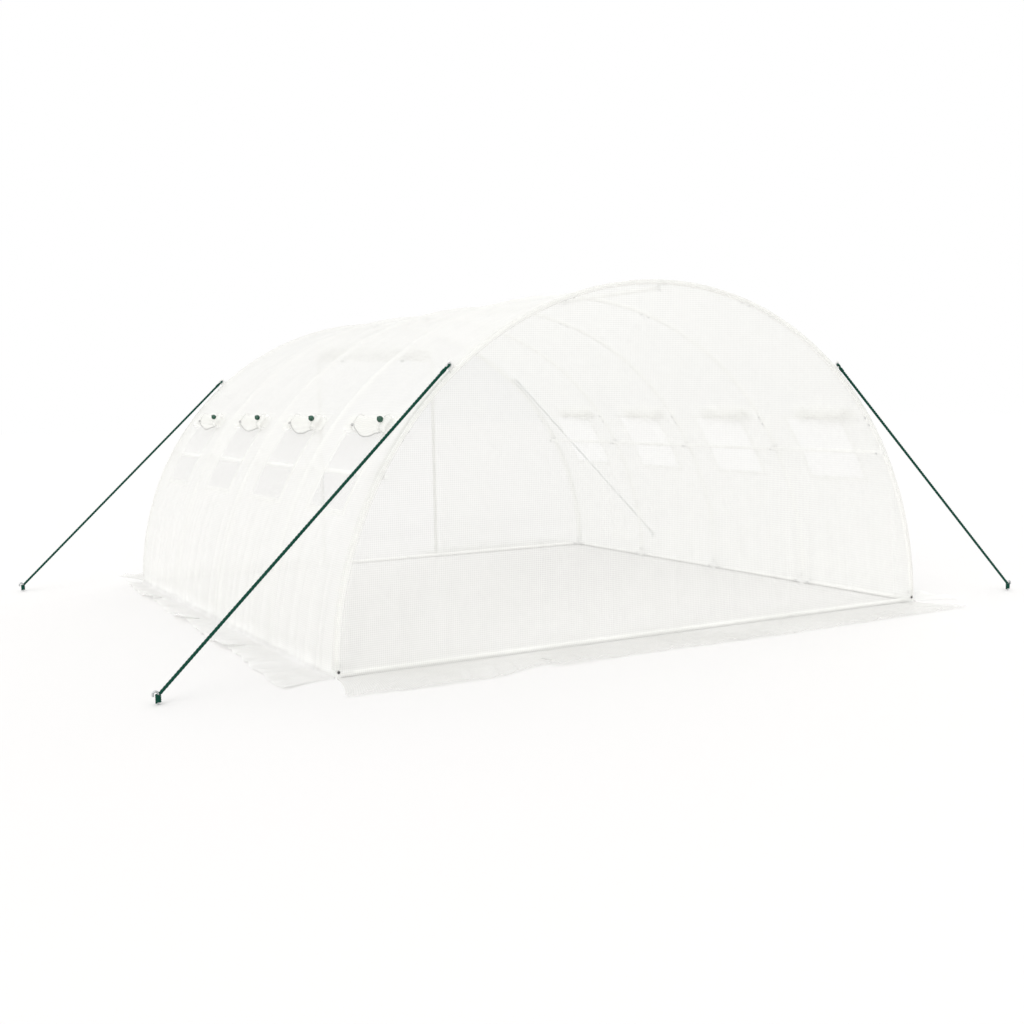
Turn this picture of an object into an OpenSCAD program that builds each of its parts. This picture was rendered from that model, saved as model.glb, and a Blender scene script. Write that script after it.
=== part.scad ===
// Polytunnel greenhouse: half-round steel hoops under a white film cover,
// with rolled-up side windows, an open doorway at the rear, ground skirts and guy ropes.
// Millimetres. X runs across, Y along the tunnel towards the rear, Z up from the ground.

/* [Tunnel] */
// Width over the hoops; they are half circles, so the height is half of this
tunnel_width = 4000; // [3500:50:5000]
// Length over the end hoops
tunnel_length = 4000; // [3800:50:6000]

/* [Frame tubes] */
// Outside diameter of every tube
tube_d = 25; // [20:1:32]
// How far up the arch each side rail sits, in degrees above the ground
rail_angle = 30; // [26:1:34]
// Clear gap between a rail and the hoops that it is clamped to
rail_gap = 2; // [2:0.5:4]
// Bent tubes that are joined end to end into one hoop
hoop_pieces = 5; // [4:1:6]
// Gap at each joint between those tubes
joint_gap = 0.5; // [0.3:0.1:0.8]

/* [Fittings] */
// Wall thickness of clamps and sockets
fitting_wall = 3; // [2:0.5:5]
// Clearance all round a tube in a clamp or socket
socket_clearance = 0.5; // [0.3:0.1:0.8]
// Length of each socket, measured from the middle of its foot
socket_length = 85; // [70:5:120]
// Length of each arm of a clamp
clamp_length = 40; // [36:2:60]

/* [Cover] */
// Thickness of the film as modelled
film_t = 3; // [2:0.5:4]
// Clearance between the film and the tubes
film_gap = 0.3; // [0.2:0.1:0.6]
// Where the roof meets the shoulders, in degrees up the arch
roof_edge = 65; // [58:1:72]
// Width of the skirt on the ground at each end
end_skirt = 400; // [200:10:500]
// Width of the skirt on the ground along each side
side_skirt = 240; // [150:10:400]

/* [Windows] */
// Width of each window along the tunnel
window_width = 500; // [400:10:560]
// Lower edge of the windows, in degrees up the arch
window_low = 23.5; // [20:0.5:25]
// Upper edge of the windows, in degrees up the arch
window_high = 37; // [35:0.5:42]
// Thickness of the mesh screens
screen_t = 2; // [1.5:0.5:2]
// Thickness of a rolled-up window flap, which hangs flat against the cover
roll_t = 52; // [40:2:64]
// Height of a rolled-up window flap
roll_h = 100; // [80:2:120]
// How much longer a roll is than its window's half width, at each end
roll_past = 20; // [10:5:40]
// How far a roll sits towards the front from its window's middle
roll_shift = 120; // [0:10:120]
// How far the tie sits towards the front from its roll's middle
tie_shift = 190; // [0:10:200]

/* [Ball ties] */
// Thickness of the elastic loop of a tie
loop_t = 4; // [3:0.5:6]
// Width of the elastic loop of a tie
loop_w = 8; // [6:1:12]
// Diameter of the ball of a tie
ball_d = 34; // [26:1:40]

/* [Doorway] */
// Width of the doorway
door_width = 1000; // [800:10:1200]
// Height of the doorway
door_height = 1700; // [1500:10:1720]
// Width of the tape sewn along each side of the doorway
tape_width = 30; // [20:2:50]
// Diameter of the rolled-up door
door_roll_d = 110; // [80:2:120]

/* [Guy ropes] */
// Diameter of the ropes
rope_d = 15; // [8:1:16]
// Where a rope is tied to its end hoop, in degrees up the arch
rope_angle = 49; // [44:1:54]
// How far a peg stands out from the side of the tunnel
peg_out = 870; // [600:10:1200]
// How far a peg stands out beyond the end of the tunnel
peg_past = 40; // [20:10:380]
// Diameter of the peg's rod
peg_d = 10; // [8:1:12]
// Height of the peg's hook above the ground
peg_height = 68; // [60:2:100]
// Width of the sewn tab that holds a rope
tab_width = 44; // [36:2:60]

/* [Hidden] */
$fn = 96;
bays = 4;
tube_r = tube_d / 2;
hoop_r = tunnel_width / 2 - tube_r;
half_length = tunnel_length / 2;
bay = (tunnel_length - tube_d) / bays;
rail_off = tube_d + rail_gap;
rail_r = hoop_r - rail_off;
bore_r = tube_r + socket_clearance;
sleeve_r = bore_r + fitting_wall;
// The outer faces of clamps and feet stay just inside the tubes' outer line, clear of the film.
flush = tube_r - film_gap;
foot_half = sleeve_r + 2;
base_z = sleeve_r + 1;
foot_h = base_z + sleeve_r + 1;
foot_in = foot_half - 4;
socket_floor = foot_h - 1;
hoop_start = asin((socket_floor + socket_clearance) / hoop_r);
cover_in = tunnel_width / 2 + film_gap;
cover_out = cover_in + film_t;
end_in = half_length + film_gap;
end_out = end_in + film_t;
roll_r = roll_t / 2;
roll_at = cover_out + loop_t + 2 * film_gap + roll_r;
roll_angle = window_high + asin(roll_h * 0.22 / roll_at);
roll_half = window_width / 2 + roll_past;
door_half = door_width / 2;
door_top = min(door_height,
    sqrt(pow(cover_in, 2) - pow(door_half + roll_past, 2)) - door_roll_d - 20);
door_roll_r = door_roll_d / 2;
door_roll_y = end_out + loop_t + 2 * film_gap + door_roll_r;
door_roll_z = door_top + door_roll_r;
peg_x = tunnel_width / 2 + peg_out;
peg_y = half_length + peg_past;
hook_r = peg_d * 1.2;
lash_z = peg_height * 0.46;
lash_r = peg_d / 2 + film_gap + rope_d * 0.6;
tab_h = rope_d + 30;
tab_mid = cover_out - hoop_r + film_gap + tab_h * 0.6;

function hoop_y(i) = -half_length + tube_r + i * bay;
function window_y(i) = hoop_y(i) + bay / 2;

// Places a child on the hoops' centre line at angle a up the arch, at y along the tunnel.
// There the child's X points outwards and its Z along the hoop.
module on_arch(a, y, r = hoop_r) {
    translate([r * cos(a), y, r * sin(a)]) rotate([0, -a, 0]) children();
}

// The right side's pieces, moved over to the left.
module left_side() {
    mirror([1, 0, 0]) children();
}

// A round bar from p to q.
module bar(p, q, d) {
    v = q - p;
    translate(p)
        rotate([0, acos(v[2] / norm(v)), atan2(v[1], v[0])])
            cylinder(h = norm(v), d = d);
}

// A tube along the tunnel.
module bar_y(x, z, y0, y1, d) {
    translate([x, y0, z]) rotate([-90, 0, 0]) cylinder(h = y1 - y0, d = d);
}

// A tube across the tunnel.
module bar_x(y, z, x0, x1, d) {
    translate([x0, y, z]) rotate([0, 90, 0]) cylinder(h = x1 - x0, d = d);
}

// A curved strip of film between two angles up the arch and two places along the tunnel.
module arch_strip(a0, a1, y0, y1, r = cover_in, t = film_t) {
    rotate([90, 0, 0]) rotate([0, 0, a0])
        rotate_extrude(angle = a1 - a0, $fn = 360)
            translate([r, -y1]) square([t, y1 - y0]);
}

// One half-round hoop of bent tubes joined end to end, its ends standing in their foot sockets.
module hoop(i) {
    sweep = (180 - 2 * hoop_start) / hoop_pieces;
    gap = asin(joint_gap / hoop_r);
    color("gainsboro")
        for (k = [0 : hoop_pieces - 1])
            translate([0, hoop_y(i), 0]) rotate([90, 0, 0])
                rotate([0, 0, hoop_start + k * sweep + gap / 2])
                    rotate_extrude(angle = sweep - gap, $fn = 360)
                        translate([hoop_r, 0]) circle(d = tube_d, $fn = 48);
}

module front_hoop() { hoop(0); }
module second_hoop() { hoop(1); }
module middle_hoop() { hoop(2); }
module fourth_hoop() { hoop(3); }
module rear_hoop() { hoop(4); }

// A straight rail under the hoops, from end to end.
module rail(a) {
    color("gainsboro")
        bar_y(rail_r * cos(a), rail_r * sin(a), -half_length + 1, half_length - 1, tube_d);
}

module ridge_rail() { rail(90); }
module right_side_rail() { rail(rail_angle); }
module left_side_rail() { rail(180 - rail_angle); }

// A base rail across one end, between the corner feet.
module end_base_rail(i) {
    reach = hoop_r - foot_in - socket_clearance;
    color("gainsboro") bar_x(hoop_y(i), base_z, -reach, reach, tube_d);
}

module front_base_rail() { end_base_rail(0); }
module rear_base_rail() { end_base_rail(4); }

// The base rails along one side, one from foot to foot in each bay.
module right_base_rails() {
    inset = foot_in + socket_clearance;
    color("gainsboro")
        for (i = [0 : bays - 1])
            bar_y(hoop_r, base_z, hoop_y(i) + inset, hoop_y(i + 1) - inset, tube_d);
}

module left_base_rails() { left_side() right_base_rails(); }

// The upright socket that a hoop stands in, or its bore, curved as the hoop is.
module hoop_socket(z0, z1, r) {
    a0 = asin(z0 / hoop_r);
    a1 = asin(z1 / hoop_r);
    rotate([90, 0, 0]) rotate([0, 0, a0])
        rotate_extrude(angle = a1 - a0, $fn = 360)
            translate([hoop_r, 0]) circle(r = r, $fn = 48);
}

// The room inside the cover, which the feet keep to.
module under_cover(y0, y1) {
    translate([0, y1, 0]) rotate([90, 0, 0]) cylinder(h = y1 - y0, r = hoop_r + flush, $fn = 360);
}

// A foot under an inner hoop, with a socket for the base rail at each side.
module hoop_foot(i) {
    translate([0, hoop_y(i), 0])
        difference() {
            intersection() {
                union() {
                    translate([hoop_r - foot_half, -foot_half, 0])
                        cube([2 * foot_half, 2 * foot_half, foot_h]);
                    hoop_socket(foot_h / 2, socket_length, sleeve_r);
                    bar_y(hoop_r, base_z, -socket_length, socket_length, 2 * sleeve_r);
                }
                under_cover(-2 * socket_length, 2 * socket_length);
            }
            hoop_socket(socket_floor, 2 * socket_length, bore_r);
            bar_y(hoop_r, base_z, foot_in, 2 * socket_length, 2 * bore_r);
            bar_y(hoop_r, base_z, -2 * socket_length, -foot_in, 2 * bore_r);
        }
}

module hoop_feet() {
    color("silver")
        for (i = [1 : bays - 1]) {
            hoop_foot(i);
            left_side() hoop_foot(i);
        }
}

// The front right corner's foot, where the end hoop and two base rails meet.
module corner_foot() {
    difference() {
        intersection() {
            union() {
                translate([hoop_r - foot_half, -foot_half, 0])
                    cube([2 * foot_half, 2 * foot_half, foot_h]);
                hoop_socket(foot_h / 2, socket_length, sleeve_r);
                bar_y(hoop_r, base_z, 0, socket_length, 2 * sleeve_r);
                bar_x(0, base_z, hoop_r - socket_length, hoop_r, 2 * sleeve_r);
            }
            under_cover(-flush, 2 * socket_length);
        }
        hoop_socket(socket_floor, 2 * socket_length, bore_r);
        bar_y(hoop_r, base_z, foot_in, 2 * socket_length, 2 * bore_r);
        bar_x(0, base_z, hoop_r - 2 * socket_length, hoop_r - foot_in, 2 * bore_r);
    }
}

module corner_feet() {
    color("silver")
        for (s = [0, 1], e = [0, 1])
            mirror([s, 0, 0]) mirror([0, e, 0])
                translate([0, hoop_y(0), 0]) corner_foot();
}

// A clamp that clips over a hoop from inside and holds a rail beneath it.
module clamp(a, i) {
    intersection() {
        on_arch(a, hoop_y(i))
            difference() {
                union() {
                    cylinder(h = clamp_length, r = sleeve_r, center = true);
                    translate([-rail_off, 0, 0]) rotate([90, 0, 0])
                        cylinder(h = clamp_length, r = sleeve_r, center = true);
                }
                cylinder(h = 2 * clamp_length, r = bore_r, center = true);
                translate([-rail_off, 0, 0]) rotate([90, 0, 0])
                    cylinder(h = 2 * clamp_length, r = bore_r, center = true);
                translate([flush - 2, -clamp_length, -clamp_length])
                    cube([clamp_length, 2 * clamp_length, 2 * clamp_length]);
            }
        translate([-tunnel_width, -half_length + film_gap, 0])
            cube([2 * tunnel_width, tunnel_length - 2 * film_gap, tunnel_width]);
    }
}

module clamps(a) {
    color("silver") for (i = [0 : bays]) clamp(a, i);
}

module ridge_clamps() { clamps(90); }
module right_rail_clamps() { clamps(rail_angle); }
module left_rail_clamps() { left_side() right_rail_clamps(); }

// The cover over the ridge.
module roof_cover() {
    color("white", 0.5) arch_strip(roof_edge, 180 - roof_edge, -end_in, end_in);
}

// The cover from the windows' upper edge to the roof.
module right_shoulder_cover() {
    color("white", 0.5) arch_strip(window_high, roof_edge, -end_in, end_in);
}

module left_shoulder_cover() { left_side() right_shoulder_cover(); }

// The cover beside and between the windows.
module right_window_band() {
    half = window_width / 2;
    color("white", 0.5) {
        arch_strip(window_low, window_high, -end_in, window_y(0) - half);
        for (i = [0 : bays - 2])
            arch_strip(window_low, window_high, window_y(i) + half, window_y(i + 1) - half);
        arch_strip(window_low, window_high, window_y(bays - 1) + half, end_in);
    }
}

module left_window_band() { left_side() right_window_band(); }

// The cover from the ground to the windows' lower edge.
module right_wall_cover() {
    color("white", 0.5) arch_strip(0, window_low, -end_in, end_in);
}

module left_wall_cover() { left_side() right_wall_cover(); }

// Mesh set into each window.
module right_window_screens() {
    half = window_width / 2;
    color("whitesmoke", 0.5)
        for (i = [0 : bays - 1])
            arch_strip(window_low, window_high, window_y(i) - half, window_y(i) + half,
                cover_in + (film_t - screen_t) / 2, screen_t);
}

module left_window_screens() { left_side() right_window_screens(); }

// The outline of a roll that is h high and t thick, grown all round by g.
module roll_outline(t, h, g = 0) {
    reach = (h - t) / 2;
    union() {
        translate([0, reach]) circle(d = t + 2 * g);
        translate([0, -reach]) circle(d = t + 2 * g);
        if (reach > 0) square([t + 2 * g, 2 * reach], center = true);
    }
}

// A window's flap, rolled up above it.
module right_window_rolls() {
    color("white")
        for (i = [0 : bays - 1])
            on_arch(roll_angle, window_y(i) - roll_shift, roll_at) rotate([90, 0, 0])
                linear_extrude(2 * roll_half, center = true) roll_outline(roll_t, roll_h);
}

module left_window_rolls() { left_side() right_window_rolls(); }

// An elastic loop round a roll whose axis is Z, with its ball at the side where X points.
module ball_tie(t, h) {
    linear_extrude(loop_w, center = true)
        difference() {
            roll_outline(t, h, film_gap + loop_t);
            roll_outline(t, h, film_gap);
        }
    translate([t / 2 + film_gap + loop_t * 0.5 + ball_d * 0.42, 0, 0]) sphere(d = ball_d);
}

// The tie on each window's roll, with its ball facing out.
module right_ball_ties() {
    color("darkgreen")
        for (i = [0 : bays - 1])
            on_arch(roll_angle, window_y(i) - roll_shift - tie_shift, roll_at)
                rotate([90, 0, 0]) ball_tie(roll_t, roll_h);
}

module left_ball_ties() { left_side() right_ball_ties(); }

// The outline of an end: a half circle that stands on the ground.
module end_outline() {
    intersection() {
        circle(r = cover_out, $fn = 360);
        translate([-cover_out, 0]) square([2 * cover_out, cover_out]);
    }
}

// A flat sheet across one end, with its inner face at y.
module end_sheet(y) {
    translate([0, y + film_t, 0]) rotate([90, 0, 0]) linear_extrude(film_t) children();
}

// The closed front end.
module front_end_panel() {
    color("white", 0.4) end_sheet(-end_out) end_outline();
}

// The rear end beside the doorway.
module rear_panel_right() {
    color("white", 0.4)
        end_sheet(end_in)
            intersection() {
                circle(r = cover_out, $fn = 360);
                translate([door_half, 0]) square([cover_out, cover_out]);
            }
}

module rear_panel_left() { left_side() rear_panel_right(); }

// The rear end over the doorway.
module rear_panel_top() {
    color("white", 0.4)
        end_sheet(end_in)
            intersection() {
                circle(r = cover_out, $fn = 360);
                translate([-door_half, door_top]) square([door_width, cover_out]);
            }
}

// The tapes sewn along the sides of the doorway.
module door_edge_tapes() {
    color("white")
        for (s = [-1, 1])
            translate([s * (door_half + tape_width / 2) - tape_width / 2, end_out, 0])
                cube([tape_width, film_t, door_top]);
}

// The door, rolled up over the doorway.
module door_roll() {
    color("white")
        bar_x(door_roll_y, door_roll_z, -door_half - roll_past, door_half + roll_past, door_roll_d);
}

module door_ball_ties() {
    color("darkgreen")
        for (s = [-1, 1])
            translate([s * door_half * 0.55, door_roll_y, door_roll_z])
                rotate([0, 90, 0]) rotate([0, 0, 60]) ball_tie(door_roll_d, door_roll_d);
}

// The skirts of film that lie out on the ground.
module front_skirt() {
    color("white", 0.7)
        translate([-cover_out, -end_out - end_skirt, 0]) cube([2 * cover_out, end_skirt, film_t]);
}

module rear_skirts() {
    color("white", 0.7)
        for (s = [0, 1])
            mirror([s, 0, 0])
                translate([door_half + tape_width, end_out, 0])
                    cube([cover_out - door_half - tape_width, end_skirt, film_t]);
}

module right_skirt() {
    color("white", 0.7)
        translate([cover_out, -end_out, 0]) cube([side_skirt, 2 * end_out, film_t]);
}

module left_skirt() { left_side() right_skirt(); }

// The sewn tab that a rope is tied to, on the seam over an end hoop.
module rope_tab() {
    on_arch(rope_angle, 0)
        difference() {
            translate([cover_out - hoop_r + film_gap, -film_t, -tab_width / 2])
                cube([tab_h, 2 * film_t, tab_width]);
            translate([tab_mid, 0, 0]) rotate([90, 0, 0])
                cylinder(h = 4 * film_t, d = rope_d + 3, center = true);
        }
}

module rope_tabs() {
    color("white")
        for (s = [0, 1], e = [0, 1])
            mirror([s, 0, 0]) mirror([0, e, 0])
                translate([0, hoop_y(0), 0]) rope_tab();
}

// The front right rope, taut from the lower edge of its tab to the lashing round its peg.
module guy_rope() {
    a = rope_angle;
    drop = tab_width / 2 + rope_d * 0.06 + film_gap;
    r = hoop_r + tab_mid;
    top = [r * cos(a) + drop * sin(a), hoop_y(0), r * sin(a) - drop * cos(a)];
    foot = [peg_x, -peg_y, lash_z];
    difference() {
        union() {
            bar(top, foot, rope_d);
            translate([peg_x, -peg_y, lash_z * 0.3]) cylinder(h = lash_z, r = lash_r);
        }
        translate([peg_x, -peg_y, -1]) cylinder(h = 2 * peg_height, d = peg_d + 2 * film_gap);
    }
}

module right_guy_ropes() {
    color("darkgreen")
        for (e = [0, 1])
            mirror([0, e, 0]) guy_rope();
}

module left_guy_ropes() { left_side() right_guy_ropes(); }

// A hooked steel peg, from the ground up.
module ground_peg() {
    shank = peg_height - hook_r - peg_d / 2;
    union() {
        cylinder(h = shank, d = peg_d);
        translate([hook_r, 0, shank]) rotate([90, 0, 0])
            rotate_extrude(angle = 180) translate([hook_r, 0]) circle(d = peg_d, $fn = 48);
        translate([2 * hook_r, 0, shank - hook_r]) cylinder(h = hook_r, d = peg_d);
    }
}

module ground_pegs() {
    color("silver")
        for (s = [0, 1], e = [0, 1])
            mirror([s, 0, 0]) mirror([0, e, 0])
                translate([peg_x, -peg_y, 0]) ground_peg();
}

front_hoop();
second_hoop();
middle_hoop();
fourth_hoop();
rear_hoop();
ridge_rail();
left_side_rail();
right_side_rail();
front_base_rail();
rear_base_rail();
left_base_rails();
right_base_rails();
corner_feet();
hoop_feet();
ridge_clamps();
left_rail_clamps();
right_rail_clamps();
roof_cover();
left_shoulder_cover();
right_shoulder_cover();
left_window_band();
right_window_band();
left_wall_cover();
right_wall_cover();
left_window_screens();
right_window_screens();
left_window_rolls();
right_window_rolls();
left_ball_ties();
right_ball_ties();
front_end_panel();
rear_panel_left();
rear_panel_right();
rear_panel_top();
door_edge_tapes();
door_roll();
door_ball_ties();
front_skirt();
rear_skirts();
left_skirt();
right_skirt();
rope_tabs();
left_guy_ropes();
right_guy_ropes();
ground_pegs();
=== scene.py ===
import math

import bmesh
import bpy
import numpy as np
from mathutils import Matrix, Vector


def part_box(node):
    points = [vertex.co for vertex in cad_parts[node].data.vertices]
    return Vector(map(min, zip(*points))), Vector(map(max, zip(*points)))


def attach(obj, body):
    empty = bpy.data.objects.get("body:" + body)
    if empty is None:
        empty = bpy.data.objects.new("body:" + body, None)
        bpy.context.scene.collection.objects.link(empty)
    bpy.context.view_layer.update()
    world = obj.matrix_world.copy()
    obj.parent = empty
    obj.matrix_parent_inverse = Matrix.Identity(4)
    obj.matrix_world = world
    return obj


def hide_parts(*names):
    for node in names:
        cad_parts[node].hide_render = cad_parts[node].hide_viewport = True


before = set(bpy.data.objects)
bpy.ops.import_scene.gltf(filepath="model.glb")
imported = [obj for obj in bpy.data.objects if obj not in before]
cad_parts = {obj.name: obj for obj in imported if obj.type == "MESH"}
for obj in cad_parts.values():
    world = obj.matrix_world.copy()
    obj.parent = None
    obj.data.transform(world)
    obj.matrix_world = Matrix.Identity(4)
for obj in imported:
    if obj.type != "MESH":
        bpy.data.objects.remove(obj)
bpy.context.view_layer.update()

# The frame's tubes
# Five half-round hoops, three rails and the base rails are 25 mm steel tube with a baked white coat.
# The hoops are bent in a roller from five lengths each; the coat is satin and a little scuffed.
hoop_names = [place + "_hoop" for place in ("front", "second", "middle", "fourth", "rear")]
rail_names = ["ridge_rail", "left_side_rail", "right_side_rail", "front_base_rail", "rear_base_rail",
              "left_base_rails", "right_base_rails"]
coat_white = (0.975, 0.975, 0.955)
scuff_grey = (0.90, 0.90, 0.88)


def add_node(tree, kind, inputs=None, **settings):
    """A node with its settings, and with values or other nodes' sockets at its inputs."""
    made = tree.nodes.new(kind)
    for key, value in settings.items():
        setattr(made, key, value)
    for key, value in (inputs or {}).items():
        if isinstance(value, bpy.types.NodeSocket):
            tree.links.new(value, made.inputs[key])
        else:
            made.inputs[key].default_value = value
    return made


def start_material(name):
    """A new material, its empty tree, and the place on the object that its patterns follow."""
    material = bpy.data.materials.new(name)
    material.use_nodes = True
    tree = material.node_tree
    tree.nodes.clear()
    return material, tree, add_node(tree, "ShaderNodeTexCoord").outputs["Object"]


def end_material(material, shader):
    """The material, with a shader at its output."""
    add_node(material.node_tree, "ShaderNodeOutputMaterial", {"Surface": shader.outputs[0]})
    return material


def opaque(material, colour, roughness, relief, more=None):
    """Ends a material as one opaque surface; more holds the shader's other values."""
    inputs = {"Base Color": colour, "Roughness": roughness, "Normal": relief, **(more or {})}
    return end_material(material, add_node(material.node_tree, "ShaderNodeBsdfPrincipled", inputs))


def calc(tree, operation, a, b=0.0):
    """One sum on two values."""
    return add_node(tree, "ShaderNodeMath", {0: a, 1: b}, operation=operation).outputs[0]


def reach(tree, value, low, high, least=0.0, most=1.0):
    """A value moved from one range to another, held at its ends."""
    inputs = {"Value": value, "From Min": low, "From Max": high, "To Min": least, "To Max": most}
    return add_node(tree, "ShaderNodeMapRange", inputs, interpolation_type="SMOOTHSTEP").outputs[0]


def grain(tree, place, scale, detail=3.0):
    """Soft noise at a scale, from about 0.2 to 0.8."""
    inputs = {"Vector": place, "Scale": scale, "Detail": detail}
    return add_node(tree, "ShaderNodeTexNoise", inputs).outputs["Fac"]


def wander(tree, place, scale, least, most, detail=3.0):
    """A value that wanders between two others over the surface."""
    return reach(tree, grain(tree, place, scale, detail), 0.3, 0.7, least, most)


def between(tree, share, a, b):
    """A colour between two colours."""
    return add_node(tree, "ShaderNodeMix", {0: share, 6: (*a, 1), 7: (*b, 1)}, data_type="RGBA").outputs[2]


def bump(tree, height, distance, strength=1.0, over=None):
    """Relief of a height, in metres, over other relief."""
    inputs = {"Height": height, "Distance": distance, "Strength": strength}
    if over is not None:
        inputs["Normal"] = over
    return add_node(tree, "ShaderNodeBump", inputs).outputs["Normal"]


def coated_metal():
    """White baked coat with the fine ripple of sprayed powder and faint grey scuffs."""
    material, tree, place = start_material("white_coated_tube")
    scuff = reach(tree, grain(tree, place, 14.0, 6.0), 0.56, 0.72)
    ripple = grain(tree, place, 420.0, 2.0)
    return opaque(material, between(tree, scuff, coat_white, scuff_grey),
                  wander(tree, place, 40.0, 0.26, 0.42), bump(tree, ripple, 0.0004, 0.35),
                  {"Specular IOR Level": 0.7})


def finish_nodes(names, material):
    """Gives the frame's own pieces their finish."""
    for name in names:
        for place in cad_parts[name].material_slots:
            place.material = material


finish_nodes(hoop_names + rail_names, coated_metal())

# The feet and clamps
# Sockets at the ground hold the hoops and base rails, and clamps hold the three rails under the hoops.
# They are moulded in pale grey plastic with a fine matt grain, rubbed smoother where they were handled.
fitting_names = ["corner_feet", "hoop_feet", "ridge_clamps", "left_rail_clamps", "right_rail_clamps"]
fitting_light = (0.93, 0.93, 0.92)
fitting_dark = (0.85, 0.85, 0.84)


def moulded_plastic():
    """Pale grey plastic with a moulded grain."""
    material, tree, place = start_material("pale_grey_fitting")
    cloud = reach(tree, grain(tree, place, 9.0, 5.0), 0.35, 0.7)
    return opaque(material, between(tree, cloud, fitting_light, fitting_dark),
                  wander(tree, place, 55.0, 0.38, 0.58),
                  bump(tree, grain(tree, place, 900.0, 2.0), 0.0003, 0.5))


finish_nodes(fitting_names, moulded_plastic())

# The frame's screws
# Hex-headed self-tapping screws with washers, zinc coated, hold the hoops' joints, the clamps and the feet.
# All are driven from inside the tunnel, so that their heads stay off the film.
tube_r = 0.0125
sleeve_r = 0.016
hoop_ys = [(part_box(name)[0].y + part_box(name)[1].y) / 2 for name in hoop_names]
hoop_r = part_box("middle_hoop")[1].z - tube_r
rail_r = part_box("ridge_rail")[1].z - tube_r
base_z = (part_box("front_base_rail")[0].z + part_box("front_base_rail")[1].z) / 2
joint_angles = [math.radians(36.58 + 35.61 * k) for k in range(4)]
rail_angles = [math.radians(a) for a in (30, 90, 150)]
joint_screw_shift = 0.028
clamp_screw_shift = 0.012
socket_screw_z = 0.062
socket_screw_shift = 0.058
screw_sizes = {"Head Width": 0.0095, "Head Height": 0.0042, "Washer Width": 0.0145}
washer_thick = 0.0014
crown_high = 0.0012
zinc_light = (0.60, 0.61, 0.62)
zinc_dark = (0.46, 0.47, 0.48)


def node_tree(name, inputs):
    """A Geometry Nodes tree with named inputs and a material, and its inputs' sockets."""
    tree = bpy.data.node_groups.new(name, "GeometryNodeTree")
    for label, kind in {"Geometry": "Geometry", **inputs, "Material": "Material"}.items():
        tree.interface.new_socket(label, in_out="INPUT", socket_type="NodeSocket" + kind)
    tree.interface.new_socket("Geometry", in_out="OUTPUT", socket_type="NodeSocketGeometry")
    return tree, tree.nodes.new("NodeGroupInput").outputs


def end_tree(tree, given, copies):
    """Ends a tree: its copies become one mesh of one material."""
    real = add_node(tree, "GeometryNodeRealizeInstances", {0: copies.outputs[0]})
    done = add_node(tree, "GeometryNodeSetMaterial", {
        "Geometry": real.outputs[0], "Material": given["Material"]})
    add_node(tree, "NodeGroupOutput", {0: done.outputs[0]})
    return tree


def place_piece(name, mesh):
    """Puts a finished mesh into the scene, where its points say."""
    piece = bpy.data.objects.new(name, mesh)
    bpy.context.collection.objects.link(piece)
    return piece


def grown(name, start, tree, values):
    """The plain mesh that a tree makes from a starting mesh, as a piece."""
    holder = place_piece(name + "_start", start)
    maker = holder.modifiers.new("maker", "NODES")
    maker.node_group = tree
    for item in tree.interface.items_tree:
        if item.in_out == "INPUT" and item.name in values:
            maker[item.identifier] = values[item.name]
    made = bpy.data.meshes.new_from_object(holder.evaluated_get(bpy.context.evaluated_depsgraph_get()))
    bpy.data.objects.remove(holder)
    made.name = name
    return place_piece(name, made)


def settle(piece, slot, *nodes):
    """Puts a piece on the body, in place of the frame's nodes that it stands for; slot is not used."""
    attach(piece, "root")
    if nodes:
        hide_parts(*nodes)


def zinc_steel():
    """Steel under a thin zinc coat, with its dull crystal patches."""
    material, tree, place = start_material("zinc_coated_steel")
    patch = add_node(tree, "ShaderNodeTexVoronoi", {"Vector": place, "Scale": 260.0}).outputs["Color"]
    tone = add_node(tree, "ShaderNodeRGBToBW", {0: patch}).outputs[0]
    return opaque(material, between(tree, tone, zinc_light, zinc_dark),
                  wander(tree, place, 120.0, 0.28, 0.5, 5.0),
                  bump(tree, grain(tree, place, 700.0), 0.0002, 0.4), {"Metallic": 1.0})


def screw_tree():
    """A washer and a chamfered hex head at every point, facing the way that its arrow points."""
    tree, given = node_tree("screw_heads", dict.fromkeys(screw_sizes, "Float"))
    high = given["Head Height"]
    half = calc(tree, "DIVIDE", given["Head Width"], 2.0)
    washer = add_node(tree, "GeometryNodeMeshCylinder", {
        "Vertices": 14, "Radius": calc(tree, "DIVIDE", given["Washer Width"], 2.0), "Depth": washer_thick})
    head = add_node(tree, "GeometryNodeMeshCylinder", {"Vertices": 6, "Radius": half, "Depth": high})
    crown = add_node(tree, "GeometryNodeMeshCone", {
        "Vertices": 6, "Radius Top": calc(tree, "MULTIPLY", half, 0.72), "Radius Bottom": half,
        "Depth": crown_high})
    screw = add_node(tree, "GeometryNodeJoinGeometry")
    for part, rise in ((washer, 0.0), (head, calc(tree, "DIVIDE", high, 2.0)), (crown, high)):
        lift = add_node(tree, "ShaderNodeCombineXYZ", {"Z": rise})
        lifted = add_node(tree, "GeometryNodeTransform", {
            "Geometry": part.outputs["Mesh"], "Translation": lift.outputs[0]})
        tree.links.new(lifted.outputs[0], screw.inputs[0])
    arrow = add_node(tree, "GeometryNodeInputNamedAttribute", {"Name": "out"}, data_type="FLOAT_VECTOR")
    turn = add_node(tree, "FunctionNodeAlignRotationToVector", {
        "Vector": arrow.outputs["Attribute"]}, axis="Z")
    return end_tree(tree, given, add_node(tree, "GeometryNodeInstanceOnPoints", {
        "Points": given["Geometry"], "Instance": screw.outputs[0], "Rotation": turn.outputs[0]}))


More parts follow.
